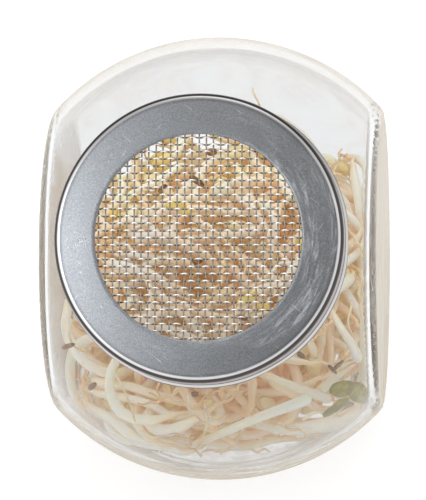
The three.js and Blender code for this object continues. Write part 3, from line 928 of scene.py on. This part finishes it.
def sprout_heap(materials):
    """The sprouts: those nearest the glass replace the frame's own, and the rest, but for those
    that cross an open sight line, are joined.

    It returns the points and the radii of all that show.
    """
    points, radii = settled_sprouts()
    order = np.argsort(glass_distances(points), kind="stable")
    shown = []
    inner = []
    for rank, index in enumerate(order):
        in_frame = rank < SPROUTS_IN_FRAME
        if not in_frame and blocks_view(points[index]):
            continue
        # Sprouts inside the heap draw peachier tones: a painted warm shade between the sprouts, on
        # top of tones that differ at random.
        tones = OUTER_TONES if rank < OUTER_SPROUTS else INNER_SHADED_TONES
        parts = sprout_parts(index, points[index] + CENTRE, radii[index], tones)
        shown.append(index)
        if in_frame:
            node = f"sprout_{rank + 1:02d}"
            grown_piece(f"{node}_grown", parts, materials, node)
        else:
            inner.append(parts)
    for number, start in enumerate(range(0, len(inner), INNER_PER_PIECE)):
        parts = [part for sprout in inner[start : start + INNER_PER_PIECE] for part in sprout]
        grown_piece(f"sprouts_inner_{number + 1}", parts, materials)
    return points[shown], radii[shown]


# ------------------------------------------------------- leaves, hulls and loose roots
# These are placed where they show in the 426 x 500 picture: places are in its pixels,
# counted from its top left corner, and widths in millimetres.
LEAF_THICKNESS = 0.45
HULL_THICKNESS = 0.7
SEED_LEAF_THICKNESS = 1.4
BLADE_SWELL = (0.75, 0.12)  # as a seed leaf's
GROOVE_DEPTH = 0.6  # the depth of the groove down its middle, as a share of its own
GROOVE_WIDTH = 0.2
STRAND_SWAY = 0.12
STRAND_SWAY_RATE = 4.1
STRAND_TAPER = 0.3  # the knots over which a strand's round ends taper
STRAND_TIP = 0.02
STRAND_RINGS = 10  # for each of its knots
GLASS_DEPTH = 0.55  # how far in from the glass the things that lie against it are
HEAP_CLEARANCE = 1.5  # how far above the sprouts' lines the things that lie on them are
RAY_REACH = 108.0  # how far before the jar's middle a ray of sight is followed from
RAY_STEP = 0.25
GREEN_LEAVES = (  # root x, root y, tip x, tip y, width
    (350, 387, 328, 384, 6.0),
    (347, 382, 364, 398, 5.6),
    (346, 395, 320, 412, 5.0),
)
GLASS_HULLS = (
    (330, 368, 341, 358, 1.5),
    (326, 363, 334, 371, 1.2),
    (192, 392, 199, 391, 2.0),
    (66, 346, 78, 342, 1.5),
    (92, 386, 99, 380, 1.8),
    (296, 351, 303, 356, 1.6),
)
HEAP_HULLS = (  # middle x, middle y, length, width, turn in degrees from the picture's right
    (197, 181, 5.6, 2.0, -35),
    (163, 189, 3.6, 2.2, 50),
    (212, 152, 3.4, 2.4, 10),
    (196, 262, 4.4, 1.8, 15),
    (243, 318, 3.6, 1.5, -20),
)
HEAP_SEED_LEAVES = (
    (176, 205, 6.8, 2.8, -4),
    (188, 211, 4.6, 2.2, 8),
    (248, 298, 7.2, 2.8, 28),
    (262, 306, 5.0, 2.6, -15),
    (262, 153, 5.0, 3.0, -62),
    (113, 213, 4.2, 2.6, 75),
)
GLASS_ROOTS = (  # the places each passes through, against the glass
    ((205, 402), (207, 422), (202, 436), (198, 447), (202, 454)),
    ((117, 372), (125, 387), (132, 403), (137, 420)),
    ((188, 392), (191, 405), (198, 415), (206, 420)),
    ((205, 405), (214, 417), (227, 412)),
    ((252, 91), (254, 98), (258, 105), (261, 118)),
    ((74, 318), (72, 333), (79, 347), (94, 352)),
    ((300, 417), (318, 409), (337, 413), (352, 402)),
    ((140, 428), (156, 434), (175, 430), (190, 436)),
)
HEAP_ROOTS = (((352, 300), (348, 322), (353, 341), (347, 356)),)
GLASS_STEMS = (((186, 449), (205, 441), (232, 430), (262, 417), (288, 408), (312, 398)),)
HEAP_STEMS = (
    ((255, 370), (278, 379), (303, 389), (330, 399)),
    ((326, 304), (338, 324), (350, 343), (357, 360)),
)
ROOT_LOOK = ((0.42, 0.24), (0.7, 1.0))  # radius and growth at each end
STEM_LOOK = ((0.9, 1.7), (0.8, 0.3))
LOOSE_LOOKS = (0.0, 0.5)  # the two numbers that vary a sprout's look


def against_glass(x, y):
    """Where a thing that lies against the inside of the glass shows at a place."""
    along = np.arange(CAMERA_DISTANCE - RAY_REACH, CAMERA_DISTANCE, RAY_STEP)
    ray = camera_place() - CENTRE + along[:, None] * pixel_ray(x, y)
    is_inside = skin_distance(ray, INSIDE) < -GLASS_DEPTH
    return ray[np.argmax(is_inside)] + CENTRE


def on_heap(x, y, heap):
    """Where a thing that lies on the sprouts shows at a place."""
    points, radii = heap
    origin = camera_place() - CENTRE
    way = pixel_ray(x, y)
    offset = points.reshape(-1, 3) - origin
    along = offset @ way
    apart = np.linalg.norm(offset - along[:, None] * way, axis=1)
    is_met = apart < radii.ravel() + HEAP_CLEARANCE
    return camera_place() + way * (along[is_met].min() - HEAP_CLEARANCE)


def blade(root, tip, facing, width, thick):
    """A flat leaf with a groove down its middle, or a thin bit of hull."""
    length = np.linalg.norm(tip - root)
    way = (tip - root) / length
    out = square_to(way, facing)
    side = np.cross(way, out)
    theta, turn = leaf_rings(BLADE_RINGS), full_turn(BLADE_COLUMNS)
    swell = swollen(theta, *BLADE_SWELL)
    groove = np.exp(-((np.cos(turn) / GROOVE_WIDTH) ** 2)) * (np.sin(turn) > 0)
    depth = np.sin(turn) * (1 - GROOVE_DEPTH * groove) * np.sqrt(swell) * thick / 2
    spread = np.cos(turn) * swell * width / 2
    return leaf_part(root, way, length, theta, side, spread, out, depth)


def glass_blades(places, thick):
    blades = []
    for root_x, root_y, tip_x, tip_y, width in places:
        root, tip = against_glass(root_x, root_y), against_glass(tip_x, tip_y)
        blades.append(blade(root, tip, (root + tip) / 2 - CENTRE, width, thick))
    return blades


def heap_blades(places, thick, heap):
    back, right, up = camera_axes()
    blades = []
    for x, y, length, width, turn in places:
        middle = on_heap(x, y, heap)
        turn = math.radians(turn)
        way = right * math.cos(turn) + up * math.sin(turn)
        root, tip = middle - way * length / 2, middle + way * length / 2
        blades.append(blade(root, tip, back, width, thick))
    return blades


def glass_line(places):
    return np.array([against_glass(x, y) for x, y in places])


def heap_line(places, heap):
    """A nearly straight line that rests on the highest of the sprouts under it."""
    camera = camera_place()
    met = [np.linalg.norm(on_heap(x, y, heap) - camera) for x, y in places]
    steps = np.arange(len(places))
    level = np.polyval(np.polyfit(steps, met, 1), steps)
    level += (met - level).min()
    rays = np.array([pixel_ray(x, y) for x, y in places])
    return camera + rays * level[:, None]


def strand(knots, look):
    """A root or stem that tapers along a line of knots, kept inside the glass."""
    radii, growth = look
    knots = knots - CENTRE
    reach = ROOM_RADIUS - max(radii)
    knots *= np.minimum(1, reach / np.linalg.norm(knots, axis=1))[:, None]
    flat = ROOM_HALF_WIDTH - max(radii)
    knots[:, 0] = np.clip(knots[:, 0], -flat, flat)
    at = np.linspace(0, len(knots) - 1, STRAND_RINGS * len(knots))
    line = spline(knots, at) + CENTRE
    sway = STRAND_SWAY * np.sin(at * STRAND_SWAY_RATE + knots[0, 0])
    _, normals = carried_normals(line)
    line = line + sway[:, None] * normals
    ends = np.clip(np.minimum(at, at[-1] - at) / STRAND_TAPER, STRAND_TIP, 1)
    radius = np.linspace(*radii, len(line)) * np.sqrt(1 - (1 - ends) ** 2)
    rings = tube(line, normals, radius[:, None, None], STEM_SIDES)
    return closed_part(rings, line[[0, -1]], np.linspace(*growth, len(line)), growth)


def strands(glass_places, heap_places, heap, look):
    """Roots or stems, some against the glass and some on the heap."""
    lines = [glass_line(places) for places in glass_places]
    lines += [heap_line(places, heap) for places in heap_places]
    return [strand(line, look) for line in lines]


def loose_pieces(heap, stem, seed_leaf, green, hull):
    """What lies loose in the jar: one piece of each kind, in its material."""
    hulls = glass_blades(GLASS_HULLS, HULL_THICKNESS)
    hulls += heap_blades(HEAP_HULLS, HULL_THICKNESS, heap)
    seed_leaves = heap_blades(HEAP_SEED_LEAVES, SEED_LEAF_THICKNESS, heap)
    for name, material, parts in (
        ("green_leaves", green, glass_blades(GREEN_LEAVES, LEAF_THICKNESS)),
        ("seed_hulls", hull, hulls),
        ("loose_seed_leaves", seed_leaf, seed_leaves),
        ("loose_roots", stem, strands(GLASS_ROOTS, HEAP_ROOTS, heap, ROOT_LOOK)),
        ("loose_stems", stem, strands(GLASS_STEMS, HEAP_STEMS, heap, STEM_LOOK)),
    ):
        grown_piece(name, [(0, LOOSE_LOOKS, part) for part in parts], [material])


# ------------------------------------------------------------------------ materials
class Shader:
    """A node tree, with a short way to add each kind of node that the looks are made of.

    An input is a number, a vector, a colour or the socket of another node.
    """

    def __init__(self, owner):
        owner.use_nodes = True
        self.tree = owner.node_tree
        self.tree.nodes.clear()

    def node(self, kind, inputs, **settings):
        node = self.tree.nodes.new("ShaderNode" + kind)
        for setting, value in settings.items():
            setattr(node, setting, value)
        for key, value in inputs.items():
            socket = node.inputs[key]
            if isinstance(value, bpy.types.NodeSocket):
                self.tree.links.new(value, socket)
            else:
                socket.default_value = (*value, 1) if socket.type == "RGBA" else value
        return node

    def place(self, kind="Object"):
        return self.node("TexCoord", {}).outputs[kind]

    def math(self, operation, *values):
        return self.node("Math", dict(enumerate(values)), operation=operation).outputs[0]

    def times(self, a, b):
        return self.math("MULTIPLY", a, b)

    def plus(self, a, b):
        return self.math("ADD", a, b)

    def length(self, across, up):
        return self.math("SQRT", self.plus(self.times(across, across), self.times(up, up)))

    def less(self, place, origin):
        node = self.node("VectorMath", {0: place, 1: origin}, operation="SUBTRACT")
        return node.outputs[0]

    def split(self, place):
        return self.node("SeparateXYZ", {0: place}).outputs

    def span(self, value, low, high, start=0.0, end=1.0):
        """From start where the value is low to end where it is high."""
        inputs = {"Value": value, 1: low, 2: high, 3: start, 4: end}
        return self.node("MapRange", inputs).outputs[0]

    def ramp(self, factor, *stops):
        """A colour ramp through (place, colour) stops."""
        node = self.node("ValToRGB", {"Fac": factor})
        elements = node.color_ramp.elements
        for element, (place, colour) in zip(elements, (stops[0], stops[-1])):
            element.position, element.color = place, (*colour, 1)
        for place, colour in stops[1:-1]:
            elements.new(place).color = (*colour, 1)
        return node.outputs["Color"]

    def mask(self, factor, low, high):
        return self.ramp(factor, (low, BLACK), (high, WHITE))

    def mix(self, factor, first, second, blend_type="MIX"):
        inputs = {0: factor, 6: first, 7: second}
        return self.node("Mix", inputs, data_type="RGBA", blend_type=blend_type).outputs[2]

    def noise(self, scale, detail=2.0, roughness=0.5, place=None, distortion=0.0):
        inputs = {
            "Vector": place or self.place(),
            "Scale": scale,
            "Detail": detail,
            "Roughness": roughness,
            "Distortion": distortion,
        }
        return self.node("TexNoise", inputs).outputs["Fac"]

    def bump(self, height, strength, distance):
        inputs = {"Height": height, "Strength": strength, "Distance": distance}
        return self.node("Bump", inputs).outputs["Normal"]

    def surface(self, inputs):
        """A principled surface, as the material's output."""
        self.node("OutputMaterial", {"Surface": self.node("BsdfPrincipled", inputs).outputs[0]})


def new_material(name):
    material = bpy.data.materials.new(name)
    return material, Shader(material)


def streaks_and_reflection(shader):
    """Level streaks round the lower part of the glass, partly dried water and partly a painted
    reflection of the sprouts in the thick base.
    """
    place = shader.place()
    low = shader.span(shader.split(place)[2], 44.0 * MM, 16.0 * MM, 0.0, 0.5)
    level = shader.node("Mapping", {"Vector": place, "Scale": (1.0, 1.0, 5.0)}).outputs[0]
    streaks = shader.noise(42.0, detail=5.0, roughness=0.65, place=level)
    return shader.times(low, shader.mask(streaks, 0.42, 0.62))


def glass_material():
    """Clear pressed glass, a little wavy, under a thin film of dried water whose tan grey is partly
    painted shade.

    The film shows most where the glass is seen edge-on, where it is painted shade for the glass's
    grey edges, and the lamps' light goes through.
    """
    material, shader = new_material("clear_pressed_glass")
    pressed = {
        "Base Color": (0.875, 0.885, 0.90),
        "Roughness": 0.0,
        "IOR": 1.5,
        "Transmission Weight": 1.0,
        "Normal": shader.bump(shader.noise(28.0, detail=1.5), 0.12, 0.001),
    }
    pressed = shader.node("BsdfPrincipled", pressed).outputs[0]
    # The film's tan grey is partly painted shade, strongest edge-on, and in the streaks a painted
    # reflection of the sprouts.
    film = shader.node("BsdfDiffuse", {"Color": (0.58, 0.52, 0.425)}).outputs[0]
    facing = shader.node("LayerWeight", {}).outputs["Facing"]
    spots = shader.ramp(shader.noise(120.0, detail=3.0), (0.35, (0.8, 0.8, 0.8)), (0.65, WHITE))
    thickness = shader.times(shader.span(facing, 0.62, 1.0, 0.0, 0.85), spots)
    thickness = shader.plus(thickness, streaks_and_reflection(shader))
    filmed = shader.node("MixShader", {0: thickness, 1: pressed, 2: film}).outputs[0]
    clear = shader.node("BsdfTransparent", {"Color": (0.95, 0.95, 0.95)}).outputs[0]
    is_shadow = shader.node("LightPath", {}).outputs["Is Shadow Ray"]
    both = shader.node("MixShader", {0: is_shadow, 1: filmed, 2: clear}).outputs[0]
    inside = {"Color": (0.66, 0.63, 0.56), "Density": 2.0}
    inside = shader.node("VolumeAbsorption", inside).outputs[0]
    shader.node("OutputMaterial", {"Surface": both, "Volume": inside})
    return material


def lid_place(shader):
    """Places measured from the sphere's centre, with Z along the neck's axis."""
    moved = shader.less(shader.place(), tuple(CENTRE * MM))
    turned = {"Vector": moved, "Angle": LEAN - math.pi / 2}
    return shader.node("VectorRotate", turned, rotation_type="X_AXIS").outputs[0]


def scratch_mask(shader, place, turn, scale, threshold):
    """Fine straight scratches in the lid's plane, running one way."""
    way = {"Vector": place, "Rotation": (0, 0, turn), "Scale": (1.0, 14.0, 10.0)}
    way = shader.node("Mapping", way, vector_type="TEXTURE").outputs[0]
    return shader.mask(shader.noise(scale, place=way), threshold, threshold + 0.05)


def wiped_smears(shader, turn, from_axis):
    """Whitish wisps left by wiping round the lid, on its right and lower side."""
    round_lid = {0: shader.times(turn, 5.0 * MM), 1: from_axis}
    place = shader.node("CombineXYZ", round_lid).outputs[0]
    wisps = shader.noise(1000.0, detail=6.0, roughness=0.75, place=place, distortion=0.5)
    patches = shader.noise(190.0, detail=1.0, place=place)
    wisps, patches = shader.mask(wisps, 0.47, 0.72), shader.mask(patches, 0.44, 0.62)
    side = shader.span(shader.math("COSINE", shader.plus(turn, 0.25)), -0.5, 0.5)
    return shader.times(shader.mix(1.0, wisps, patches, "MULTIPLY"), side)


def rim_share(shader, from_axis, along):
    """How far a place is out over the lid's edge, from just inside its rim to its curl."""
    rim = (PANEL_EDGE - (PANEL_TOP - PANEL_DROP) - 1.0) * MM
    curl = (CURL_RING + CURL_RADIUS - CURL_AT) * MM
    return shader.span(shader.math("SUBTRACT", from_axis, along), rim, curl)


def painted_rim_shade(shader, share):
    """Painted shade and reflection round the rim: dark lines under the shoulder and round the curl,
    and a mauve skirt between them.
    """
    # The dark bands are painted shade, the mauve one a painted reflection, and the white ones keep
    # the shoulder's painted highlight.
    dark = (0.09, 0.08, 0.08)
    mauve = (0.62, 0.57, 0.57)
    dull = (0.72, 0.71, 0.71)
    pale = (0.8, 0.8, 0.8)
    bands = (  # from and to, and the colour between them
        (0.0, 0.0, WHITE),
        (0.045, 0.065, dull),
        (0.08, 0.12, WHITE),
        (0.145, 0.28, dark),
        (0.33, 0.74, mauve),
        (0.79, 0.86, dark),
        (0.88, 0.94, pale),
        (0.97, 0.97, dark),
    )
    stops = {place: colour for start, end, colour in bands for place in (start, end)}
    return shader.ramp(share, *stops.items())


def steel_material():
    """Dull tinned steel with a fine grain, scratches, specks and whitish wiped smears, with a
    painted highlight on the shoulder and painted shade and reflection round the rim.
    """
    material, shader = new_material("worn_tinned_steel")
    place = lid_place(shader)
    across, up, along = shader.split(place)
    from_axis = shader.length(across, up)
    clouds = shader.noise(60.0, detail=4.0, roughness=0.6)
    grain = shader.noise(2300.0, detail=3.0, roughness=0.8, place=place)
    smears = wiped_smears(shader, shader.math("ARCTAN2", up, across), from_axis)
    specks = shader.mask(shader.noise(1500.0), 0.70, 0.74)
    one_way = scratch_mask(shader, place, 0.9, 1300.0, 0.71)
    other_way = scratch_mask(shader, place, -0.6, 1100.0, 0.70)
    scratches = shader.mix(1.0, one_way, other_way, "ADD")
    base = shader.ramp(grain, (0.35, (0.20, 0.207, 0.218)), (0.65, (0.335, 0.345, 0.362)))
    for marks, strength, colour in (
        (smears, 0.65, (0.72, 0.75, 0.78)),
        (scratches, 0.35, (0.80, 0.82, 0.85)),
        (specks, 0.4, (0.84, 0.85, 0.87)),
    ):
        base = shader.mix(shader.times(marks, strength), base, colour)
    # Painted highlight: the shoulder and rim take a light grey low on the lid that darkens towards
    # its top.
    share = rim_share(shader, from_axis, along)
    high = shader.span(up, 8.0 * MM, 30.0 * MM)
    shoulder = shader.mix(high, (0.78, 0.77, 0.78), (0.40, 0.39, 0.39))
    base = shader.mix(shader.mask(share, 0.065, 0.08), base, shoulder)
    base = shader.mix(1.0, base, painted_rim_shade(shader, share), "MULTIPLY")
    rough = shader.plus(0.24, shader.times(smears, 0.3))
    rough = shader.plus(rough, shader.times(clouds, 0.1))
    height = shader.plus(grain, shader.times(clouds, 2.0))
    shader.surface(
        {
            "Base Color": base,
            "Metallic": 0.97,
            "Roughness": rough,
            "Normal": shader.bump(height, 0.12, 0.0002),
        }
    )
    return material


def wire_material(name, dark, bright, roughness, rise):
    """Stainless wire with a drawn grain, with painted shade in its hollows and a painted highlight
    on its bends.

    rise is how far the wire's line climbs above the middle of the cloth.
    """
    material, shader = new_material(name)
    grain = shader.noise(900.0)
    # Painted light by height: dark where the wire dips under the other layer, as painted shade, and
    # bright where it rides over, as a painted highlight.
    low = (CLOTH_MIDDLE - rise) * MM
    height = shader.span(shader.split(lid_place(shader))[2], low, low + 2 * (rise + WIRE / 4) * MM)
    painted_light_level = shader.plus(height, shader.times(grain, 0.2))
    shader.surface(
        {
            "Base Color": shader.ramp(painted_light_level, (0.45, dark), (0.95, bright)),
            "Metallic": 1.0,
            "Roughness": roughness,
            "Normal": shader.bump(grain, 0.15, 0.0001),
        }
    )
    return material


def mottled_material(name, noise, shades, roughness, bump, more=()):
    """A surface whose colour and bumps follow one noise: its scale, detail and roughness."""
    material, shader = new_material(name)
    mottle = shader.noise(*noise)
    base, normal = shader.ramp(mottle, *shades), shader.bump(mottle, *bump)
    surface = {"Base Color": base, "Roughness": roughness, "Normal": normal}
    shader.surface(surface | dict(more))
    return material


def rubber_material():
    """Off-white sealing compound with a matt face."""
    shades = (0.3, (0.66, 0.63, 0.56)), (0.7, (0.76, 0.73, 0.67))
    return mottled_material("sealing_compound", (300.0, 4.0), shades, 0.6, (0.2, 0.0002))


def growth_channels(shader):
    """How far along its sprout a place is, and the sprout's two random numbers."""
    growth = shader.node("Attribute", {}, attribute_name="growth").outputs["Color"]
    return shader.node("SeparateColor", {"Color": growth}).outputs


def painted_light_under_mouth(shader):
    """How much a place in the heap lies under the mouth, where the sprouts get a tan painted shade
    and more painted glow.
    """
    across, up, along = shader.split(lid_place(shader))
    near_axis = shader.span(shader.length(across, up), 36.0 * MM, 29.0 * MM)
    return shader.times(near_axis, shader.span(along, -8.0 * MM, 4.0 * MM))


def mouth_shade_colour(shader):
    """The painted shade under the mouth: tan in the middle of the mouth, a little below its axis,
    and pale round it.
    """
    across, up, _ = shader.split(shader.less(lid_place(shader), (-2.0 * MM, -6.0 * MM, 0.0)))
    near = shader.span(shader.length(across, up), 27.0 * MM, 7.0 * MM)
    return shader.mix(near, (0.74, 0.73, 0.69), (0.74, 0.56, 0.36))


def stem_material():
    """A moist stem: cream below the head, tan and brown along the root, with a tan painted shade
    under the mouth and a painted glow.
    """
    material, shader = new_material("sprout_stem")
    along, tone, _ = growth_channels(shader)
    clouds = shader.noise(260.0, detail=3.0)
    cream = shader.ramp(
        shader.plus(along, shader.times(clouds, 0.12)),
        (0.04, (0.95, 0.84, 0.56)),
        (0.16, (0.98, 0.905, 0.75)),
        (0.40, (0.98, 0.92, 0.81)),
        (0.70, (0.96, 0.86, 0.69)),
        (0.82, (0.90, 0.69, 0.47)),
        (1.0, (0.66, 0.42, 0.23)),
    )
    # Peach follows the tone, which is drawn higher inside the heap, where it is painted warm shade.
    peach = shader.times(shader.mask(tone, 0.35, 1.0), 0.75)
    base = shader.mix(peach, cream, (0.91, 0.65, 0.39))
    spots = shader.times(shader.mask(shader.noise(700.0), 0.66, 0.74), 0.25)
    base = shader.mix(spots, base, (0.55, 0.36, 0.18))
    # Under the mouth the stem takes a tan painted shade and more painted glow.
    mouth = painted_light_under_mouth(shader)
    shader.surface(
        {
            "Base Color": shader.mix(shader.times(mouth, 0.85), base, mouth_shade_colour(shader)),
            "Roughness": 0.36,
            "Subsurface Weight": 1.0,
            "Subsurface Radius": (0.8, 0.62, 0.45),
            "Subsurface Scale": 0.003,
            # Painted glow: emission for the light scattered in the heap, warmer and stronger under
            # the mouth.
            "Emission Color": shader.mix(mouth, (1.0, 0.66, 0.38), (1.0, 0.80, 0.60)),
            "Emission Strength": shader.plus(PAINTED_HEAP_GLOW, shader.times(mouth, PAINTED_MOUTH_GLOW)),
            "Normal": shader.bump(clouds, 0.3, 0.0003),
        }
    )
    return material


def seed_leaf_material():
    """The yellow halves of the bean, with a painted glow. The whitest sprouts take the least tan
    painted shade under the mouth.
    """
    material, shader = new_material("seed_leaf")
    along, tone, warmth = growth_channels(shader)
    clouds = shader.noise(330.0, detail=3.0)
    yellow = shader.ramp(clouds, (0.3, (0.78, 0.58, 0.12)), (0.7, (0.88, 0.74, 0.30)))
    pale = shader.ramp(clouds, (0.3, (0.84, 0.76, 0.50)), (0.7, (0.90, 0.85, 0.66)))
    tip = shader.times(shader.mask(along, 0.6, 1.0), shader.times(warmth, 0.5))
    base = shader.mix(tip, shader.mix(tone, yellow, pale), (0.55, 0.33, 0.10))
    # The tan painted shade under the mouth, least on the whitest sprouts.
    mouth_shade_share = shader.times(painted_light_under_mouth(shader), shader.span(tone, 0.0, 0.35, 0.05, 0.75))
    shader.surface(
        {
            "Base Color": shader.mix(mouth_shade_share, base, mouth_shade_colour(shader)),
            "Roughness": 0.42,
            "Subsurface Weight": 0.4,
            "Subsurface Radius": (1.0, 0.7, 0.3),
            "Subsurface Scale": 0.0015,
            # Painted glow: emission for the light scattered in the heap.
            "Emission Color": (1.0, 0.68, 0.3),
            "Emission Strength": PAINTED_HEAP_GLOW,
            "Normal": shader.bump(clouds, 0.4, 0.0003),
        }
    )
    return material


def green_leaf_material():
    """A first leaf, olive with paler patches."""
    shades = (0.3, (0.20, 0.17, 0.01)), (0.5, (0.36, 0.29, 0.025)), (0.72, (0.60, 0.51, 0.13))
    soft = {
        "Subsurface Weight": 0.2,
        "Subsurface Radius": (0.6, 1.0, 0.2),
        "Subsurface Scale": 0.0006,
    }
    return mottled_material("green_leaf", (420.0, 4.0), shades, 0.5, (0.5, 0.0002), soft)


def hull_material():
    """The papery seed coats, brown with dark and rusty patches."""
    shades = (0.3, (0.06, 0.04, 0.02)), (0.5, (0.28, 0.13, 0.04)), (0.7, (0.50, 0.30, 0.12))
    return mottled_material("seed_hull", (380.0, 4.0, 0.7), shades, 0.45, (0.6, 0.0003))


# --------------------------------------------------------------------- stage and light
def floor_material():
    """A pale table top, softly lit from below."""
    material, shader = new_material("pale_floor")
    clouds = shader.noise(3.0)
    shader.surface(
        {
            "Base Color": shader.ramp(clouds, (0.3, (0.27, 0.27, 0.27)), (0.7, (0.29, 0.29, 0.29))),
            "Roughness": 0.9,
            "Emission Color": WHITE,
            "Emission Strength": FLOOR_GLOW,
        }
    )
    return material


def add_floor():
    mesh = bpy.data.meshes.new("floor")
    h = FLOOR_HALF
    mesh.from_pydata([(-h, -h, 0), (h, -h, 0), (h, h, 0), (-h, h, 0)], [], [(0, 1, 2, 3)])
    mesh.materials.append(floor_material())
    floor = add_object("floor", mesh)


def direction(turn, height):
    """A unit vector by its turn from -Y towards +X and its height, both in degrees."""
    turn, height = math.radians(turn), math.radians(height)
    level = math.cos(height)
    return Vector((math.sin(turn) * level, -math.cos(turn) * level, math.sin(height)))


def round_patch(shader, middle, reach, outside, inside, colour):
    """Light from all round, with a round patch where its strength fades to another."""
    towards = {0: shader.place("Generated"), 1: tuple(direction(*middle))}
    towards = shader.node("VectorMath", towards, operation="DOT_PRODUCT").outputs["Value"]
    strength = shader.span(towards, math.cos(math.radians(reach)), 1.0, outside, inside)
    return shader.node("Background", {"Color": colour, "Strength": strength}).outputs[0]


def add_world():
    """A bright studio. The lid's right mirrors its dark patch, and the left its soft lamp."""
    world = bpy.data.worlds.new("studio")
    bpy.context.scene.world = world
    shader = Shader(world)
    room = round_patch(shader, DARK_PATCH, DARK_REACH, WORLD_BRIGHT, WORLD_DARK, ROOM_COLOUR)
    lamp = round_patch(shader, LAMP_PATCH, LAMP_REACH, 0.0, LAMP_BRIGHT, LAMP_COLOUR)
    both = shader.node("AddShader", {0: room, 1: lamp}).outputs[0]
    shader.node("OutputWorld", {"Surface": both})


def add_overhead():
    """A soft box above the jar that faces it."""
    way = direction(*OVERHEAD_AT)
    light = bpy.data.lights.new("overhead", "AREA")
    light.shape = "RECTANGLE"
    light.size, light.size_y = OVERHEAD_SIZE
    light.energy = OVERHEAD_POWER
    lamp = add_object("overhead", light)
    lamp.location = Vector(CENTRE * MM) + way * OVERHEAD_DISTANCE
    lamp.rotation_euler = (-way).to_track_quat("-Z", "Y").to_euler()


def wire_cloth():
    """The two layers of the cloth, the weft with the brighter painted highlight where it bends over
    the warp.
    """
    # Each wire's dark and bright colours are its painted shade and painted highlight.
    warp = wire_material("stainless_warp", (0.20, 0.17, 0.14), (0.40, 0.35, 0.30), 0.35, WARP_CRIMP)
    weft = wire_material("stainless_weft", (0.16, 0.15, 0.13), (0.95, 0.94, 0.92), 0.25, WEFT_CRIMP)
    woven_wires("screen_warp_woven", "screen_warp", False, WARP_CRIMP, 0.0, 0, 11, warp)
    woven_wires("screen_weft_woven", "screen_weft", True, WEFT_CRIMP, WEFT_SWAY, 1, 12, weft)


def gasket_look():
    """The gasket keeps the frame's shape and gets a material."""
    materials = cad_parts["lid_gasket"].data.materials
    materials.clear()
    materials.append(rubber_material())


def set_light_paths():
    """Plain colours, and paths long enough to pass through the jar's many faces."""
    scene = bpy.context.scene
    scene.view_settings.view_transform = "Standard"
    cycles = scene.cycles
    cycles.diffuse_bounces = DIFFUSE_BOUNCES
    cycles.max_bounces = cycles.glossy_bounces = LIGHT_BOUNCES
    cycles.transmission_bounces = cycles.transparent_max_bounces = LIGHT_BOUNCES


def main():
    add_camera()
    add_floor()
    add_world()
    add_overhead()
    jar_glass(glass_material())
    lid_cap(steel_material())
    wire_cloth()
    gasket_look()
    stem, seed_leaf = stem_material(), seed_leaf_material()
    heap = sprout_heap([stem, seed_leaf])
    loose_pieces(heap, stem, seed_leaf, green_leaf_material(), hull_material())
    set_light_paths()


main()
